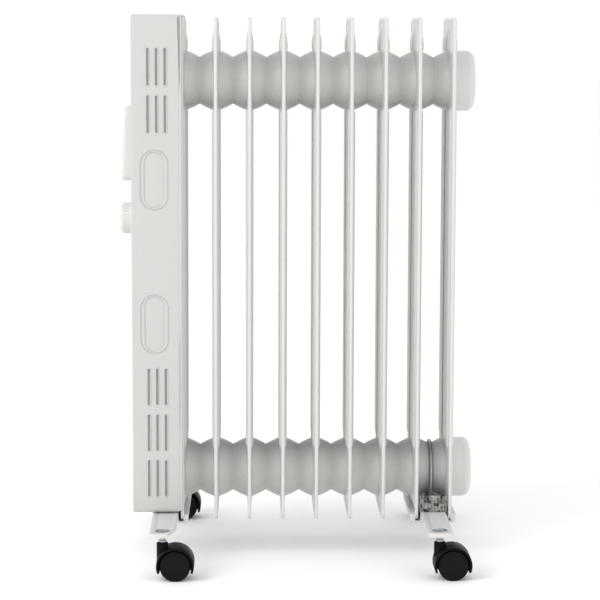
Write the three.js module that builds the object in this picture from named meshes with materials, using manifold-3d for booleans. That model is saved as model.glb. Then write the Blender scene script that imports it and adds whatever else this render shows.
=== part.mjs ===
// Oil filled radiator heater on four twin-wheel casters, in millimetres.
// +Z is up and the floor is z = 0. X runs along the row of fins, with the controls at the -X end (the front).
// -Y is the heater's right-hand side. The whole is centred on X and Y.
import * as THREE from "three";
import { mergeVertices } from "three/addons/utils/BufferGeometryUtils.js";
import Module from "manifold-3d";

const wasm = await Module();
wasm.setup();

const DEGREE = Math.PI / 180;

// Clearances.
const SEAM_GAP = 0.3; // between pieces that touch, are welded or are screwed together
const RUNNING_GAP = 0.3; // between a turning piece and what it turns on
const SLOT_GAP = 0.6; // around a loose sheet-metal fit

// Driving dimensions of the fins.
const FIN_COUNT = 9;
const FIN_PITCH = 38;
const FIN_HEIGHT = 569;
const FIN_DEPTH = 125;
const FIN_SINK = 9.6; // from the top of the feet down to the fins' lower edges
const FIN_CORNER = 10;
const HEM_THICKNESS = 3.4;

// The two oil channels pressed into each fin.
const CHANNEL_THICKNESS = 9.3;
const CHANNEL_WIDTH = 47;
const CHANNEL_OFFSET = 26;
const CHANNEL_SLOPE = 7;
const CHANNEL_MARGIN = 13.5;

// The two headers that join the fins, and what closes their ends.
const HEADER_TOP_DROP = 71.4;
const HEADER_BOTTOM_RISE = 50.3;
const HEADER_FIN_RADIUS = 33.7;
const HEADER_SEAM_RADIUS = 26.6;
const HEADER_SHOULDER = 5;
const HEADER_BORE = 19;
const END_CAP_RADIUS = 34.3;
const END_CAP_REACH = 27.1;
const END_CAP_CORNER = 8;
const END_CAP_WALL = 1.6;
const BLANK_THICKNESS = 7;
const FILLER_RADIUS = 9;
const FILLER_HEAD = 6;
const FILLER_THREAD_RADIUS = 6;

// The heating element in the lower header.
const ELEMENT_ROD = 4;
const ELEMENT_SPREAD = 9;
const ELEMENT_TIP = 24;
const SOCKET_LENGTH = 10;
const FLANGE_THICKNESS = 7;
const FLANGE_RADIUS = 25;
const TERMINAL_REACH = 9;

// The control box.
const COVER_ROOM = 9.15; // between the heating element's terminals and the cover's front wall
const COVER_WALL = 2;
const COVER_TOP_LIP = 2.3;
const COVER_FOOT_GAP = 0.7;
const COVER_CORNER = 6;
const COVER_SIDE_GAP = 1;
const COVER_OVERLAP = 0.5;
const CHASSIS_THICKNESS = 1.5;
const CHASSIS_MARGIN = 5;

// The vent slots in each side of the cover, counted from the top and from the bottom.
const SLOT_WIDTH = 2.6;
const SLOT_LENGTH = 41.5;
const SLOT_PITCH = 52.3;
const SLOT_COLUMN_PITCH = 9.6;
const SLOT_COLUMNS = 3;
const SLOT_REAR_COLUMN = 18;
const SLOT_TOP_ROWS = 2;
const SLOT_TOP_DROP = 37;
const SLOT_BOTTOM_ROWS = 3;
const SLOT_BOTTOM_RISE = 19.3;

// The two shallow stadium-shaped recesses in each side of the cover.
const RECESS_WIDTH = 32.7;
const RECESS_LENGTH = 68;
const RECESS_DEPTH = 0.8;
const RECESS_REACH = 30;
const RECESS_DROPS = [183.5, 345.5];

// The controls, placed by their drop below the top of the cover.
const POD_DROP = 144.6;
const POD_HEIGHT = 81.7;
const POD_WIDTH = 92;
const POD_TOP_PROUD = 8.8;
const POD_BOTTOM_PROUD = 12.3;
const POD_CORNER = 8;
const ROCKER_WIDTH = 16;
const ROCKER_HEIGHT = 26;
const ROCKER_DEPTH = 9;
const ROCKER_SPREAD = 19;
const ROCKER_DROP = 6;
const ROCKER_TRAVEL = 7;
const ROCKER_TILT = 7 * DEGREE;
const SWITCH_DEPTH = 24;
const SWITCH_WALL = 2;
const LENS_RADIUS = 4;
const LENS_RISE = 25;
const KNOB_DROP = 231.2;
const KNOB_RADIUS = 18.3;
const KNOB_PROUD = 15.7;
const KNOB_ROUNDING = 3;
const SHAFT_RADIUS = 3;
const THERMOSTAT_SIZE = 34;
const THERMOSTAT_DEPTH = 20;

// The pieces on the chassis plate inside the box, placed by their rise above the fins' lower edges.
const TERMINAL_BLOCK = [13, 46, 22];
const TERMINAL_BLOCK_RISE = 146;
const CUTOUT_RADIUS = 9;
const CUTOUT_THICKNESS = 7;
const CUTOUT_RISE = 106;
const TILT_CASE = [24, 34, 40];
const TILT_CASE_WALL = 2;
const TILT_RISE = 206;
const TILT_LENGTH = 22;
const TILT_BOB = 6;
const TILT_PIN = 1.5;
const GLAND_RISE = 40;
const GLAND_REACH = 30;
const GLAND_RADIUS = 9;
const GLAND_BORE = 3.8;
const GLAND_PROUD = 8;
const GLAND_SHOULDER = 2;
const GLAND_TAIL = 5;

// The two foot brackets.
const BRACKET_WIDTH = 29;
const BRACKET_LENGTH = 329;
const BRACKET_SHEET = 2;
const BRACKET_RIM = 4.3;
const BRACKET_CORNER = 6;
const HOOK_LENGTH = 120;
const HOOK_HEIGHT = 11;
const U_BOLT_ROD = 2.5;
const U_BOLT_TAIL = 13.6;
const WING_NUT_RADIUS = 5.5;
const WING_NUT_HEIGHT = 5;
const WING_SPAN = 22;

// The casters.
const STEM_MARGIN = 16.5;
const CASTER_TRAIL = 14;
const STEM_RADIUS = 3;
const STEM_PROUD = 3.4;
const STEM_NECK = 8.3;
const STEM_ENGAGEMENT = 10;
const SOCKET_RISE = 3.4;
const SOCKET_RADIUS = 6.5;
const HOOD_GAP = 1.2;
const HOOD_WALL = 2.6;
const HOOD_WIDTH = 32;
const HOOD_LIP = 9;
const WEB_THICKNESS = 5;
const WHEEL_RADIUS = 17;
const WHEEL_WIDTH = 12;
const WHEEL_GAP = 0.5;
const AXLE_RADIUS = 2.5;

// Facets round each kind of turned piece.
const HEADER_SIDES = 16;
const SMALL_SIDES = 12;
const WHEEL_SIDES = 20;

// Places that follow from the driving dimensions.
const WHEEL_HEIGHT = WHEEL_RADIUS * Math.cos(Math.PI / WHEEL_SIDES);
const HOOD_RADIUS = WHEEL_RADIUS + HOOD_GAP + HOOD_WALL;
const SOCKET_TOP = WHEEL_HEIGHT + HOOD_RADIUS + SOCKET_RISE;
const BRACKET_TOP = SOCKET_TOP + STEM_NECK + BRACKET_RIM;
const CASTER_SPREAD = BRACKET_LENGTH / 2 - STEM_MARGIN;
const FIN_BOTTOM = BRACKET_TOP - FIN_SINK;
const FIN_TOP = FIN_BOTTOM + FIN_HEIGHT;
const HEADER_TOP = FIN_TOP - HEADER_TOP_DROP;
const HEADER_LOW = FIN_BOTTOM + HEADER_BOTTOM_RISE;
const HEADER_REACH = (FIN_PITCH - SEAM_GAP) / 2;
const LAST_FIN = (FIN_COUNT - 1) * FIN_PITCH;
const ELEMENT_FRONT = -(HEADER_REACH + SOCKET_LENGTH + FLANGE_THICKNESS + TERMINAL_REACH);
const COVER_TOP = FIN_TOP + COVER_TOP_LIP;
const COVER_BOTTOM = BRACKET_TOP + COVER_FOOT_GAP;
const COVER_FRONT = ELEMENT_FRONT - COVER_ROOM - COVER_WALL;
const COVER_WIDTH = FIN_DEPTH + 2 * (COVER_SIDE_GAP + COVER_WALL);
const COVER_HEIGHT = COVER_TOP - COVER_BOTTOM;
const CHASSIS_FACE = -CHANNEL_THICKNESS / 2 - SEAM_GAP - CHASSIS_THICKNESS;
const FRONT_LIMIT = COVER_FRONT - KNOB_PROUD;
const REAR_LIMIT = LAST_FIN + END_CAP_REACH;
const GLAND_PLACE = [-GLAND_REACH, COVER_WIDTH / 2, FIN_BOTTOM + GLAND_RISE];
const BRACKET_PLACES = [-FIN_PITCH / 2, LAST_FIN - FIN_PITCH / 2];

// Finishes.
const ENAMEL = { color: 0xdcdbd8, roughness: 0.38, metalness: 0.0 };
const PLASTIC = { color: 0xdddcda, roughness: 0.45, metalness: 0.0 };
const BLACK = { color: 0x1d1d1d, roughness: 0.42, metalness: 0.0 };
const ZINC = { color: 0xb9bbbc, roughness: 0.35, metalness: 1.0 };
const BRASS = { color: 0xc7a765, roughness: 0.35, metalness: 1.0 };
const LENS = { color: 0xd8502a, roughness: 0.2, metalness: 0.0 };
const BAKELITE = { color: 0xe6e2d6, roughness: 0.6, metalness: 0.0 };

// ---------------------------------------------------------------- shapes

// A closed three.js geometry as a solid that can be joined and cut.
function solidOf(geometry) {
  const bare = geometry.clone();
  bare.deleteAttribute("normal");
  bare.deleteAttribute("uv");
  const merged = mergeVertices(bare, 1e-4);
  const triVerts = new Uint32Array(merged.index.array);
  const vertProperties = merged.attributes.position.array;
  const made = new wasm.Manifold(new wasm.Mesh({ numProp: 3, vertProperties, triVerts }));
  if (made.volume() > 0) return made;
  triVerts.reverse();
  return new wasm.Manifold(new wasm.Mesh({ numProp: 3, vertProperties, triVerts }));
}

// A solid as a three.js geometry again.
function geometryOf(solid) {
  const mesh = solid.getMesh();
  const geometry = new THREE.BufferGeometry();
  geometry.setAttribute("position", new THREE.BufferAttribute(mesh.vertProperties.slice(), 3));
  geometry.setIndex(new THREE.BufferAttribute(mesh.triVerts.slice(), 1));
  geometry.computeVertexNormals();
  return geometry;
}

// Turns a geometry made along +Z so that its length runs along X, Y or Z. Its own x and y become
// Y and Z for "x", and X and Z for "y", where its length then runs towards -Y.
function alongAxis(geometry, axis) {
  const [x, y, z] = [new THREE.Vector3(1, 0, 0), new THREE.Vector3(0, 1, 0), new THREE.Vector3(0, 0, 1)];
  const turn = new THREE.Matrix4();
  if (axis === "x") turn.makeBasis(y, z, x);
  if (axis === "y") turn.makeBasis(x, z, y.negate());
  return geometry.applyMatrix4(turn);
}

function block(x, y, z, at = [0, 0, 0]) {
  return solidOf(new THREE.BoxGeometry(x, y, z).translate(...at));
}

// A cylinder centred on a point, along one axis. A half-step turn puts a flat where a corner would be.
function rod(radius, length, axis, at = [0, 0, 0], sides = SMALL_SIDES, halfStep = false) {
  const made = new THREE.CylinderGeometry(radius, radius, length, sides);
  if (halfStep) made.rotateY(Math.PI / sides);
  made.rotateX(Math.PI / 2);
  return solidOf(alongAxis(made, axis).translate(...at));
}

// A turned solid about an axis, from [radius, distance along the axis] points.
function turned(points, axis, sides, halfStep = false) {
  const profile = points.map(([radius, along]) => new THREE.Vector2(radius, along));
  const made = new THREE.LatheGeometry(profile, sides);
  if (halfStep) made.rotateY(Math.PI / sides);
  made.rotateX(Math.PI / 2);
  return solidOf(alongAxis(made, axis));
}

// A closed ring's profile: its outer points, then its bore, back to the start.
function ringProfile(outer, bore) {
  const first = outer[0];
  const last = outer[outer.length - 1];
  return [...outer, [bore, last[1]], [bore, first[1]], first];
}

function roundedRectangle(width, height, corner) {
  const [x, y] = [width / 2, height / 2];
  const shape = new THREE.Shape();
  shape.moveTo(corner - x, -y);
  shape.lineTo(x - corner, -y);
  shape.absarc(x - corner, corner - y, corner, -Math.PI / 2, 0);
  shape.lineTo(x, y - corner);
  shape.absarc(x - corner, y - corner, corner, 0, Math.PI / 2);
  shape.lineTo(corner - x, y);
  shape.absarc(corner - x, y - corner, corner, Math.PI / 2, Math.PI);
  shape.lineTo(-x, corner - y);
  shape.absarc(corner - x, corner - y, corner, Math.PI, 1.5 * Math.PI);
  return shape;
}

function polygon(points) {
  return new THREE.Shape(points.map(([x, y]) => new THREE.Vector2(x, y)));
}

// A shape given a thickness along an axis, centred on a point.
function slab(shape, thickness, axis, at = [0, 0, 0], curveSegments = 3) {
  const made = new THREE.ExtrudeGeometry(shape, { depth: thickness, bevelEnabled: false, curveSegments });
  made.translate(0, 0, -thickness / 2);
  return solidOf(alongAxis(made, axis).translate(...at));
}

function union(solids) {
  return solids.reduce((all, next) => all.add(next));
}

function addMesh(group, name, shape, finish) {
  const geometry = shape.isBufferGeometry ? shape : geometryOf(shape);
  const mesh = new THREE.Mesh(geometry, new THREE.MeshStandardMaterial(finish));
  mesh.name = name;
  group.add(mesh);
  return mesh;
}

function subgroup(parent, x, y, z) {
  const group = new THREE.Group();
  group.position.set(x, y, z);
  parent.add(group);
  return group;
}

// ---------------------------------------------------------------- radiator

// One pressed oil channel: a pad that stands out of both faces of the fin, with sloped sides.
function oilChannel(side) {
  const length = FIN_HEIGHT - 2 * CHANNEL_MARGIN;
  const shape = roundedRectangle(CHANNEL_WIDTH, length, CHANNEL_WIDTH / 3);
  const bevel = (CHANNEL_THICKNESS - HEM_THICKNESS) / 2;
  const made = new THREE.ExtrudeGeometry(shape, {
    depth: HEM_THICKNESS,
    bevelThickness: bevel,
    bevelSize: CHANNEL_SLOPE,
    bevelOffset: -CHANNEL_SLOPE,
    bevelSegments: 1,
    curveSegments: 1,
  });
  made.translate(0, 0, -HEM_THICKNESS / 2);
  return solidOf(alongAxis(made, "x").translate(0, side * CHANNEL_OFFSET, FIN_HEIGHT / 2));
}

// The swelling of one header where it crosses a fin, from the seam on one side to the seam on the other.
// On the last fin it stops at the fin's face, where the end cap takes over.
function headerBoss(height, isLast) {
  const half = [
    [HEADER_FIN_RADIUS, HEADER_SHOULDER],
    [HEADER_SEAM_RADIUS, HEADER_REACH],
  ];
  const front = half.map(([radius, along]) => [radius, -along]).reverse();
  const rear = isLast ? [[HEADER_FIN_RADIUS, HEM_THICKNESS / 2]] : half;
  const outer = [...front, ...rear];
  const points = [[0, outer[0][1]], ...outer, [0, outer[outer.length - 1][1]]];
  return turned(points, "x", HEADER_SIDES).translate([0, 0, height]);
}

function finSection(isLast) {
  const outline = roundedRectangle(FIN_DEPTH, FIN_HEIGHT, FIN_CORNER);
  const plate = slab(outline, HEM_THICKNESS, "x", [0, 0, FIN_HEIGHT / 2], 2);
  const pressed = union([plate, oilChannel(-1), oilChannel(1)]);
  const heights = [HEADER_BOTTOM_RISE, FIN_HEIGHT - HEADER_TOP_DROP];
  return heights.reduce((fin, height) => {
    const bore = rod(HEADER_BORE, FIN_PITCH, "x", [0, 0, height]);
    return fin.add(headerBoss(height, isLast)).subtract(bore);
  }, pressed);
}

// A drum-shaped cap that closes a header behind the last fin. It is open towards the fin.
function headerEndCap() {
  const start = CHANNEL_THICKNESS / 2 + SEAM_GAP;
  const round = (angle) => [
    END_CAP_RADIUS - END_CAP_CORNER * (1 - Math.cos(angle)),
    END_CAP_REACH - END_CAP_CORNER * (1 - Math.sin(angle)),
  ];
  const corner = [0, Math.PI / 4, Math.PI / 2].map(round);
  const inside = END_CAP_RADIUS - END_CAP_CORNER;
  const depth = END_CAP_REACH - END_CAP_WALL;
  return turned(
    [[0, depth], [inside, depth], [inside, start], [END_CAP_RADIUS, start], ...corner, [0, END_CAP_REACH]],
    "x",
    HEADER_SIDES,
  );
}

// A plug that closes the upper header's front end, with a threaded hole for the oil filler.
function blankingCap() {
  const inner = -HEADER_REACH - SEAM_GAP;
  const outer = inner - BLANK_THICKNESS;
  const rim = [[HEADER_SEAM_RADIUS - 3, outer], [HEADER_SEAM_RADIUS, outer + 3], [HEADER_SEAM_RADIUS, inner]];
  return turned(ringProfile(rim, FILLER_THREAD_RADIUS + SEAM_GAP), "x", HEADER_SIDES);
}

function oilFillerPlug() {
  const outer = -HEADER_REACH - SEAM_GAP - BLANK_THICKNESS - SEAM_GAP;
  const head = rod(FILLER_RADIUS, FILLER_HEAD, "x", [outer - FILLER_HEAD / 2, 0, 0], 6);
  const thread = rod(FILLER_THREAD_RADIUS, BLANK_THICKNESS + 1, "x", [outer + BLANK_THICKNESS / 2, 0, 0]);
  return head.add(thread);
}

function elementSocket() {
  const inner = -HEADER_REACH - SEAM_GAP;
  const rim = [[HEADER_SEAM_RADIUS, inner - SOCKET_LENGTH], [HEADER_SEAM_RADIUS, inner]];
  return turned(ringProfile(rim, HEADER_BORE), "x", HEADER_SIDES);
}

function elementFlange() {
  const face = -HEADER_REACH - SOCKET_LENGTH - 2 * SEAM_GAP;
  const middle = face - FLANGE_THICKNESS / 2;
  const hexagon = rod(FLANGE_RADIUS, FLANGE_THICKNESS, "x", [middle, 0, 0], 6);
  const holes = [-1, 1].map((side) =>
    rod(ELEMENT_ROD + SEAM_GAP, FIN_PITCH, "x", [middle, 0, side * ELEMENT_SPREAD], 8),
  );
  return hexagon.subtract(union(holes));
}

// A sheathed heater rod bent into a hairpin that lies in the lower header.
function heatingElement() {
  const rear = LAST_FIN - ELEMENT_TIP;
  const length = rear - ELEMENT_FRONT;
  const legs = [-1, 1].map((side) =>
    rod(ELEMENT_ROD, length, "x", [rear - length / 2, 0, side * ELEMENT_SPREAD], 8),
  );
  const bend = [];
  for (let i = 0; i <= 6; i++) {
    const angle = (i / 6 - 0.5) * Math.PI;
    bend.push(new THREE.Vector3(Math.cos(angle), 0, Math.sin(angle)).multiplyScalar(ELEMENT_SPREAD));
  }
  const section = new THREE.Shape().absarc(0, 0, ELEMENT_ROD, 0, 2 * Math.PI);
  const path = new THREE.CatmullRomCurve3(bend);
  const hairpin = new THREE.ExtrudeGeometry(section, { steps: 6, extrudePath: path, curveSegments: 4 });
  return union([...legs, solidOf(hairpin.translate(rear, 0, 0))]);
}

// ---------------------------------------------------------------- control box

// The vent slots and recesses, as the solids that cut them out of one side wall of the cover.
function sideCuts(side) {
  const wall = (side * COVER_WIDTH) / 2;
  const rows = [];
  for (let i = 0; i < SLOT_TOP_ROWS; i++) {
    rows.push(COVER_TOP - SLOT_TOP_DROP - SLOT_LENGTH / 2 - i * SLOT_PITCH);
  }
  for (let i = 0; i < SLOT_BOTTOM_ROWS; i++) {
    rows.push(COVER_BOTTOM + SLOT_BOTTOM_RISE + SLOT_LENGTH / 2 + i * SLOT_PITCH);
  }
  const cuts = [];
  for (let column = 0; column < SLOT_COLUMNS; column++) {
    const x = -SLOT_REAR_COLUMN - column * SLOT_COLUMN_PITCH;
    rows.forEach((z) => cuts.push(block(SLOT_WIDTH, 4 * COVER_WALL, SLOT_LENGTH, [x, wall, z])));
  }
  const stadium = roundedRectangle(RECESS_WIDTH, RECESS_LENGTH, RECESS_WIDTH / 2);
  RECESS_DROPS.forEach((drop) => {
    cuts.push(slab(stadium, 2 * RECESS_DEPTH, "y", [-RECESS_REACH, wall, COVER_TOP - drop]));
  });
  return cuts;
}

function switchOpenings(margin, depth, x) {
  return [-1, 1].map((side) =>
    block(depth, ROCKER_WIDTH + margin, ROCKER_HEIGHT + margin, [
      x,
      side * ROCKER_SPREAD,
      COVER_TOP - POD_DROP - ROCKER_DROP,
    ]),
  );
}

// The front cover: a deep tray that is open towards the first fin and reaches past its hem.
function frontCover() {
  const depth = COVER_OVERLAP - COVER_FRONT;
  const middle = [COVER_FRONT + depth / 2, 0, (COVER_TOP + COVER_BOTTOM) / 2];
  const outline = roundedRectangle(COVER_WIDTH, COVER_HEIGHT, COVER_CORNER);
  const inside = roundedRectangle(
    COVER_WIDTH - 2 * COVER_WALL,
    COVER_HEIGHT - 2 * COVER_WALL,
    COVER_CORNER - COVER_WALL,
  );
  const tray = slab(outline, depth, "x", middle).subtract(
    slab(inside, depth, "x", [middle[0] + COVER_WALL, 0, middle[2]]),
  );
  const boltReach = U_BOLT_ROD + SLOT_GAP;
  const boltNotch = block(FIN_PITCH + 2 * boltReach, 2 * (uBoltRadius() + boltReach), 4 * COVER_WALL, [
    0,
    0,
    COVER_BOTTOM,
  ]);
  const finNotch = block(2 * FIN_PITCH, COVER_WIDTH - 2 * COVER_WALL, 4 * COVER_WALL, [
    FIN_PITCH - CHANNEL_THICKNESS / 2,
    0,
    COVER_BOTTOM,
  ]);
  const shaftHole = rod(SHAFT_RADIUS + 2, 4 * COVER_WALL, "x", [COVER_FRONT, 0, COVER_TOP - KNOB_DROP]);
  const glandHole = rod(GLAND_RADIUS - GLAND_SHOULDER, 4 * COVER_WALL, "y", GLAND_PLACE);
  const margin = 2 * (SWITCH_WALL + SEAM_GAP + SEAM_GAP);
  const openings = switchOpenings(margin, 4 * COVER_WALL, COVER_FRONT);
  const cuts = [boltNotch, finNotch, shaftHole, glandHole, ...openings, ...sideCuts(-1), ...sideCuts(1)];
  return tray.subtract(union(cuts));
}

// The sheet-metal plate that closes the back of the box and clears both headers.
function chassisPlate() {
  const bottom = COVER_BOTTOM + COVER_WALL + CHASSIS_MARGIN;
  const top = COVER_TOP - COVER_WALL - CHASSIS_MARGIN;
  const width = COVER_WIDTH - 2 * (COVER_WALL + CHASSIS_MARGIN);
  const middle = CHASSIS_FACE + CHASSIS_THICKNESS / 2;
  const plate = block(CHASSIS_THICKNESS, width, top - bottom, [middle, 0, (top + bottom) / 2]);
  const room = HEADER_FIN_RADIUS + SLOT_GAP;
  const holes = [HEADER_TOP, HEADER_LOW].map((z) => rod(room, FIN_PITCH, "x", [middle, 0, z], HEADER_SIDES));
  const legRoom = block(FIN_PITCH, 2 * room, HEADER_LOW, [middle, 0, HEADER_LOW / 2]);
  return plate.subtract(union([...holes, legRoom]));
}

// The wedge-shaped housing on the front of the cover that carries the two switches and the pilot lens.
function controlPod() {
  const base = COVER_FRONT - SEAM_GAP;
  const middle = COVER_TOP - POD_DROP;
  const half = POD_HEIGHT / 2;
  const wedge = polygon([
    [base, middle - half],
    [base, middle + half],
    [COVER_FRONT - POD_TOP_PROUD, middle + half],
    [COVER_FRONT - POD_BOTTOM_PROUD, middle - half + POD_CORNER / 3],
    [COVER_FRONT - POD_BOTTOM_PROUD + POD_CORNER / 3, middle - half],
  ]);
  const outline = roundedRectangle(POD_WIDTH, POD_HEIGHT, POD_CORNER);
  const body = slab(wedge, POD_WIDTH, "y").intersect(slab(outline, 4 * POD_BOTTOM_PROUD, "x", [COVER_FRONT, 0, middle]));
  const margin = 2 * (SWITCH_WALL + SEAM_GAP);
  const through = 4 * POD_BOTTOM_PROUD;
  const lensHole = rod(LENS_RADIUS + SEAM_GAP, through, "x", [COVER_FRONT, 0, middle + LENS_RISE]);
  return body.subtract(union([lensHole, ...switchOpenings(margin, through, COVER_FRONT)]));
}

// How far the pod's face stands in front of the cover at a height above the pod's middle.
function podProud(rise) {
  return POD_BOTTOM_PROUD + (POD_TOP_PROUD - POD_BOTTOM_PROUD) * (0.5 + rise / POD_HEIGHT);
}

// A switch housing: a frame round its rocker, closed at the back. The rocker's pins sit in its side walls.
function switchBody() {
  const face = podProud(-ROCKER_DROP);
  const depth = face + SWITCH_DEPTH;
  const outer = block(depth, ROCKER_WIDTH + 2 * SWITCH_WALL, ROCKER_HEIGHT + 2 * SWITCH_WALL, [
    SWITCH_DEPTH - depth / 2,
    0,
    0,
  ]);
  const room = ROCKER_DEPTH + ROCKER_TRAVEL;
  const well = block(room, ROCKER_WIDTH, ROCKER_HEIGHT, [room / 2 - face, 0, 0]);
  const pin = rod(1 + RUNNING_GAP, ROCKER_WIDTH + 2, "y", [rockerPivot() - COVER_FRONT, 0, 0], 8);
  return outer.subtract(well).subtract(pin);
}

function rockerPivot() {
  return COVER_FRONT - podProud(-ROCKER_DROP) + ROCKER_DEPTH - 2;
}

// A rocker: two faces that meet at a shallow angle, on a pin across the housing.
function rocker() {
  const halfHeight = ROCKER_HEIGHT / 2 - 1;
  const face = 2 - ROCKER_DEPTH;
  const profile = polygon([
    [face + 0.6, -halfHeight],
    [3, -halfHeight / 3],
    [3, halfHeight / 3],
    [face + 0.6, halfHeight],
    [face + 2.2, 0],
  ]);
  const key = slab(profile, ROCKER_WIDTH - 1, "y");
  return key.add(rod(1, ROCKER_WIDTH + 1, "y", [0, 0, 0], 8));
}

function thermostatKnob() {
  const back = COVER_FRONT - 1;
  const face = FRONT_LIMIT;
  const round = (angle) => [
    KNOB_RADIUS - KNOB_ROUNDING * (1 - Math.cos(angle)),
    face + KNOB_ROUNDING * (1 - Math.sin(angle)),
  ];
  const corner = [Math.PI / 2, Math.PI / 4, 0].map(round);
  const points = [[0, face], ...corner, [KNOB_RADIUS, back], [0, back]];
  const skirt = turned(points, "x", WHEEL_SIDES);
  const socket = rod(SHAFT_RADIUS + SEAM_GAP, 2 * (KNOB_PROUD - 5), "x", [back, 0, 0], 8);
  return skirt.subtract(socket);
}

function thermostatShaft() {
  const front = FRONT_LIMIT + 6;
  const rear = COVER_FRONT + COVER_WALL + 6;
  return rod(SHAFT_RADIUS, rear - front, "x", [(rear + front) / 2, 0, 0], 8);
}

function thermostatBody() {
  const face = COVER_FRONT + COVER_WALL + SEAM_GAP;
  const middle = face + THERMOSTAT_DEPTH / 2;
  const housing = block(THERMOSTAT_DEPTH, THERMOSTAT_SIZE, THERMOSTAT_SIZE, [middle, 0, 0]);
  const well = rod(SHAFT_RADIUS + RUNNING_GAP, 2 * THERMOSTAT_DEPTH - 8, "x", [face, 0, 0]);
  return housing.subtract(well);
}

function pilotLens() {
  const proud = podProud(LENS_RISE) + 0.6;
  return turned(
    [[0, -proud], [LENS_RADIUS - 1.5, -proud], [LENS_RADIUS, -proud + 1], [LENS_RADIUS, 0], [0, 0]],
    "x",
    SMALL_SIDES,
  );
}

// A tilt switch case, open to the front, with a pin on which its weight hangs.
function tiltCase() {
  const [x, y, z] = TILT_CASE;
  const outer = block(x, y, z);
  const inside = block(x, y - 2 * TILT_CASE_WALL, z - 2 * TILT_CASE_WALL, [-TILT_CASE_WALL, 0, 0]);
  const pin = rod(TILT_PIN, x - 1, "x", [0.5, 0, TILT_LENGTH / 2], 8);
  return outer.subtract(inside).add(pin);
}

function tiltPendulum() {
  const width = TILT_CASE[0] - 3 * TILT_CASE_WALL - 2;
  const eye = rod(TILT_PIN + 2, width, "x", [0, 0, 0], 8);
  const arm = block(width, 3, TILT_LENGTH, [0, 0, -TILT_LENGTH / 2]);
  const bob = rod(TILT_BOB, width, "x", [0, 0, -TILT_LENGTH], SMALL_SIDES);
  return union([eye, arm, bob]).subtract(rod(TILT_PIN + RUNNING_GAP, 2 * width, "x", [0, 0, 0], 8));
}

// The collar through which the mains lead enters, in the left-hand side of the cover.
function cableGland() {
  const neck = GLAND_RADIUS - GLAND_SHOULDER - SEAM_GAP;
  const outer = [
    [GLAND_RADIUS - GLAND_SHOULDER, -GLAND_PROUD],
    [GLAND_RADIUS, -SEAM_GAP],
    [neck, -SEAM_GAP],
    [neck, COVER_WALL + GLAND_TAIL],
  ];
  return turned(ringProfile(outer, GLAND_BORE), "y", SMALL_SIDES);
}

// ---------------------------------------------------------------- feet

// The bend radius of a U-bolt that lies in the valley between two header swellings.
function uBoltRadius() {
  const rise = HEADER_FIN_RADIUS - HEADER_SEAM_RADIUS;
  const run = HEADER_REACH - HEADER_SHOULDER;
  const wedge = U_BOLT_ROD * Math.hypot(1, rise / run);
  return HEADER_SEAM_RADIUS + wedge + SEAM_GAP;
}

function uBolt() {
  const radius = uBoltRadius();
  const drop = HEADER_LOW - BRACKET_TOP + U_BOLT_TAIL;
  const legs = [-1, 1].map((side) => rod(U_BOLT_ROD, drop, "z", [0, side * radius, -drop / 2], 8));
  const arc = [];
  for (let i = 0; i <= 12; i++) {
    const angle = (i / 12) * Math.PI;
    arc.push(new THREE.Vector3(0, Math.cos(angle), Math.sin(angle)).multiplyScalar(radius));
  }
  const section = new THREE.Shape().absarc(0, 0, U_BOLT_ROD, 0, 2 * Math.PI);
  const path = new THREE.CatmullRomCurve3(arc);
  const bow = new THREE.ExtrudeGeometry(section, { steps: 14, extrudePath: path, curveSegments: 4 });
  return union([...legs, solidOf(bow)]);
}

function wingNut() {
  const hub = rod(WING_NUT_RADIUS, WING_NUT_HEIGHT, "z");
  const wing = polygon([
    [0, -WING_NUT_HEIGHT / 2],
    [WING_SPAN / 3, -WING_NUT_HEIGHT / 2],
    [WING_SPAN / 2, -WING_NUT_HEIGHT],
    [WING_SPAN / 2 - 2, -1.5 * WING_NUT_HEIGHT],
    [WING_SPAN / 5, -WING_NUT_HEIGHT / 2 - 2],
    [-WING_SPAN / 5, -WING_NUT_HEIGHT / 2 - 2],
    [2 - WING_SPAN / 2, -1.5 * WING_NUT_HEIGHT],
    [-WING_SPAN / 2, -WING_NUT_HEIGHT],
    [-WING_SPAN / 3, -WING_NUT_HEIGHT / 2],
  ]);
  const wings = slab(wing, 2, "y").translate([0, 0, 1]);
  return hub.add(wings).subtract(rod(U_BOLT_ROD + SEAM_GAP, FIN_PITCH, "z"));
}

// A lip that passes under a fin's lower edge and turns up behind it, on one side of a bracket.
function finHook(side) {
  const fin = (side * FIN_PITCH) / 2;
  const floorTop = FIN_BOTTOM - SLOT_GAP;
  const floorBottom = floorTop - BRACKET_SHEET;
  const inner = (side * BRACKET_WIDTH) / 2;
  const tab = fin + side * (HEM_THICKNESS / 2 + SLOT_GAP);
  const outer = tab + side * BRACKET_SHEET;
  const skirtInner = inner - side * BRACKET_SHEET;
  const section = polygon([
    [skirtInner, floorBottom],
    [outer, floorBottom],
    [outer, floorBottom + HOOK_HEIGHT],
    [tab, floorBottom + HOOK_HEIGHT],
    [tab, floorTop],
    [inner, floorTop],
    [inner, BRACKET_TOP - BRACKET_SHEET / 2],
    [skirtInner, BRACKET_TOP - BRACKET_SHEET / 2],
  ]);
  return slab(section, HOOK_LENGTH, "y");
}

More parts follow.
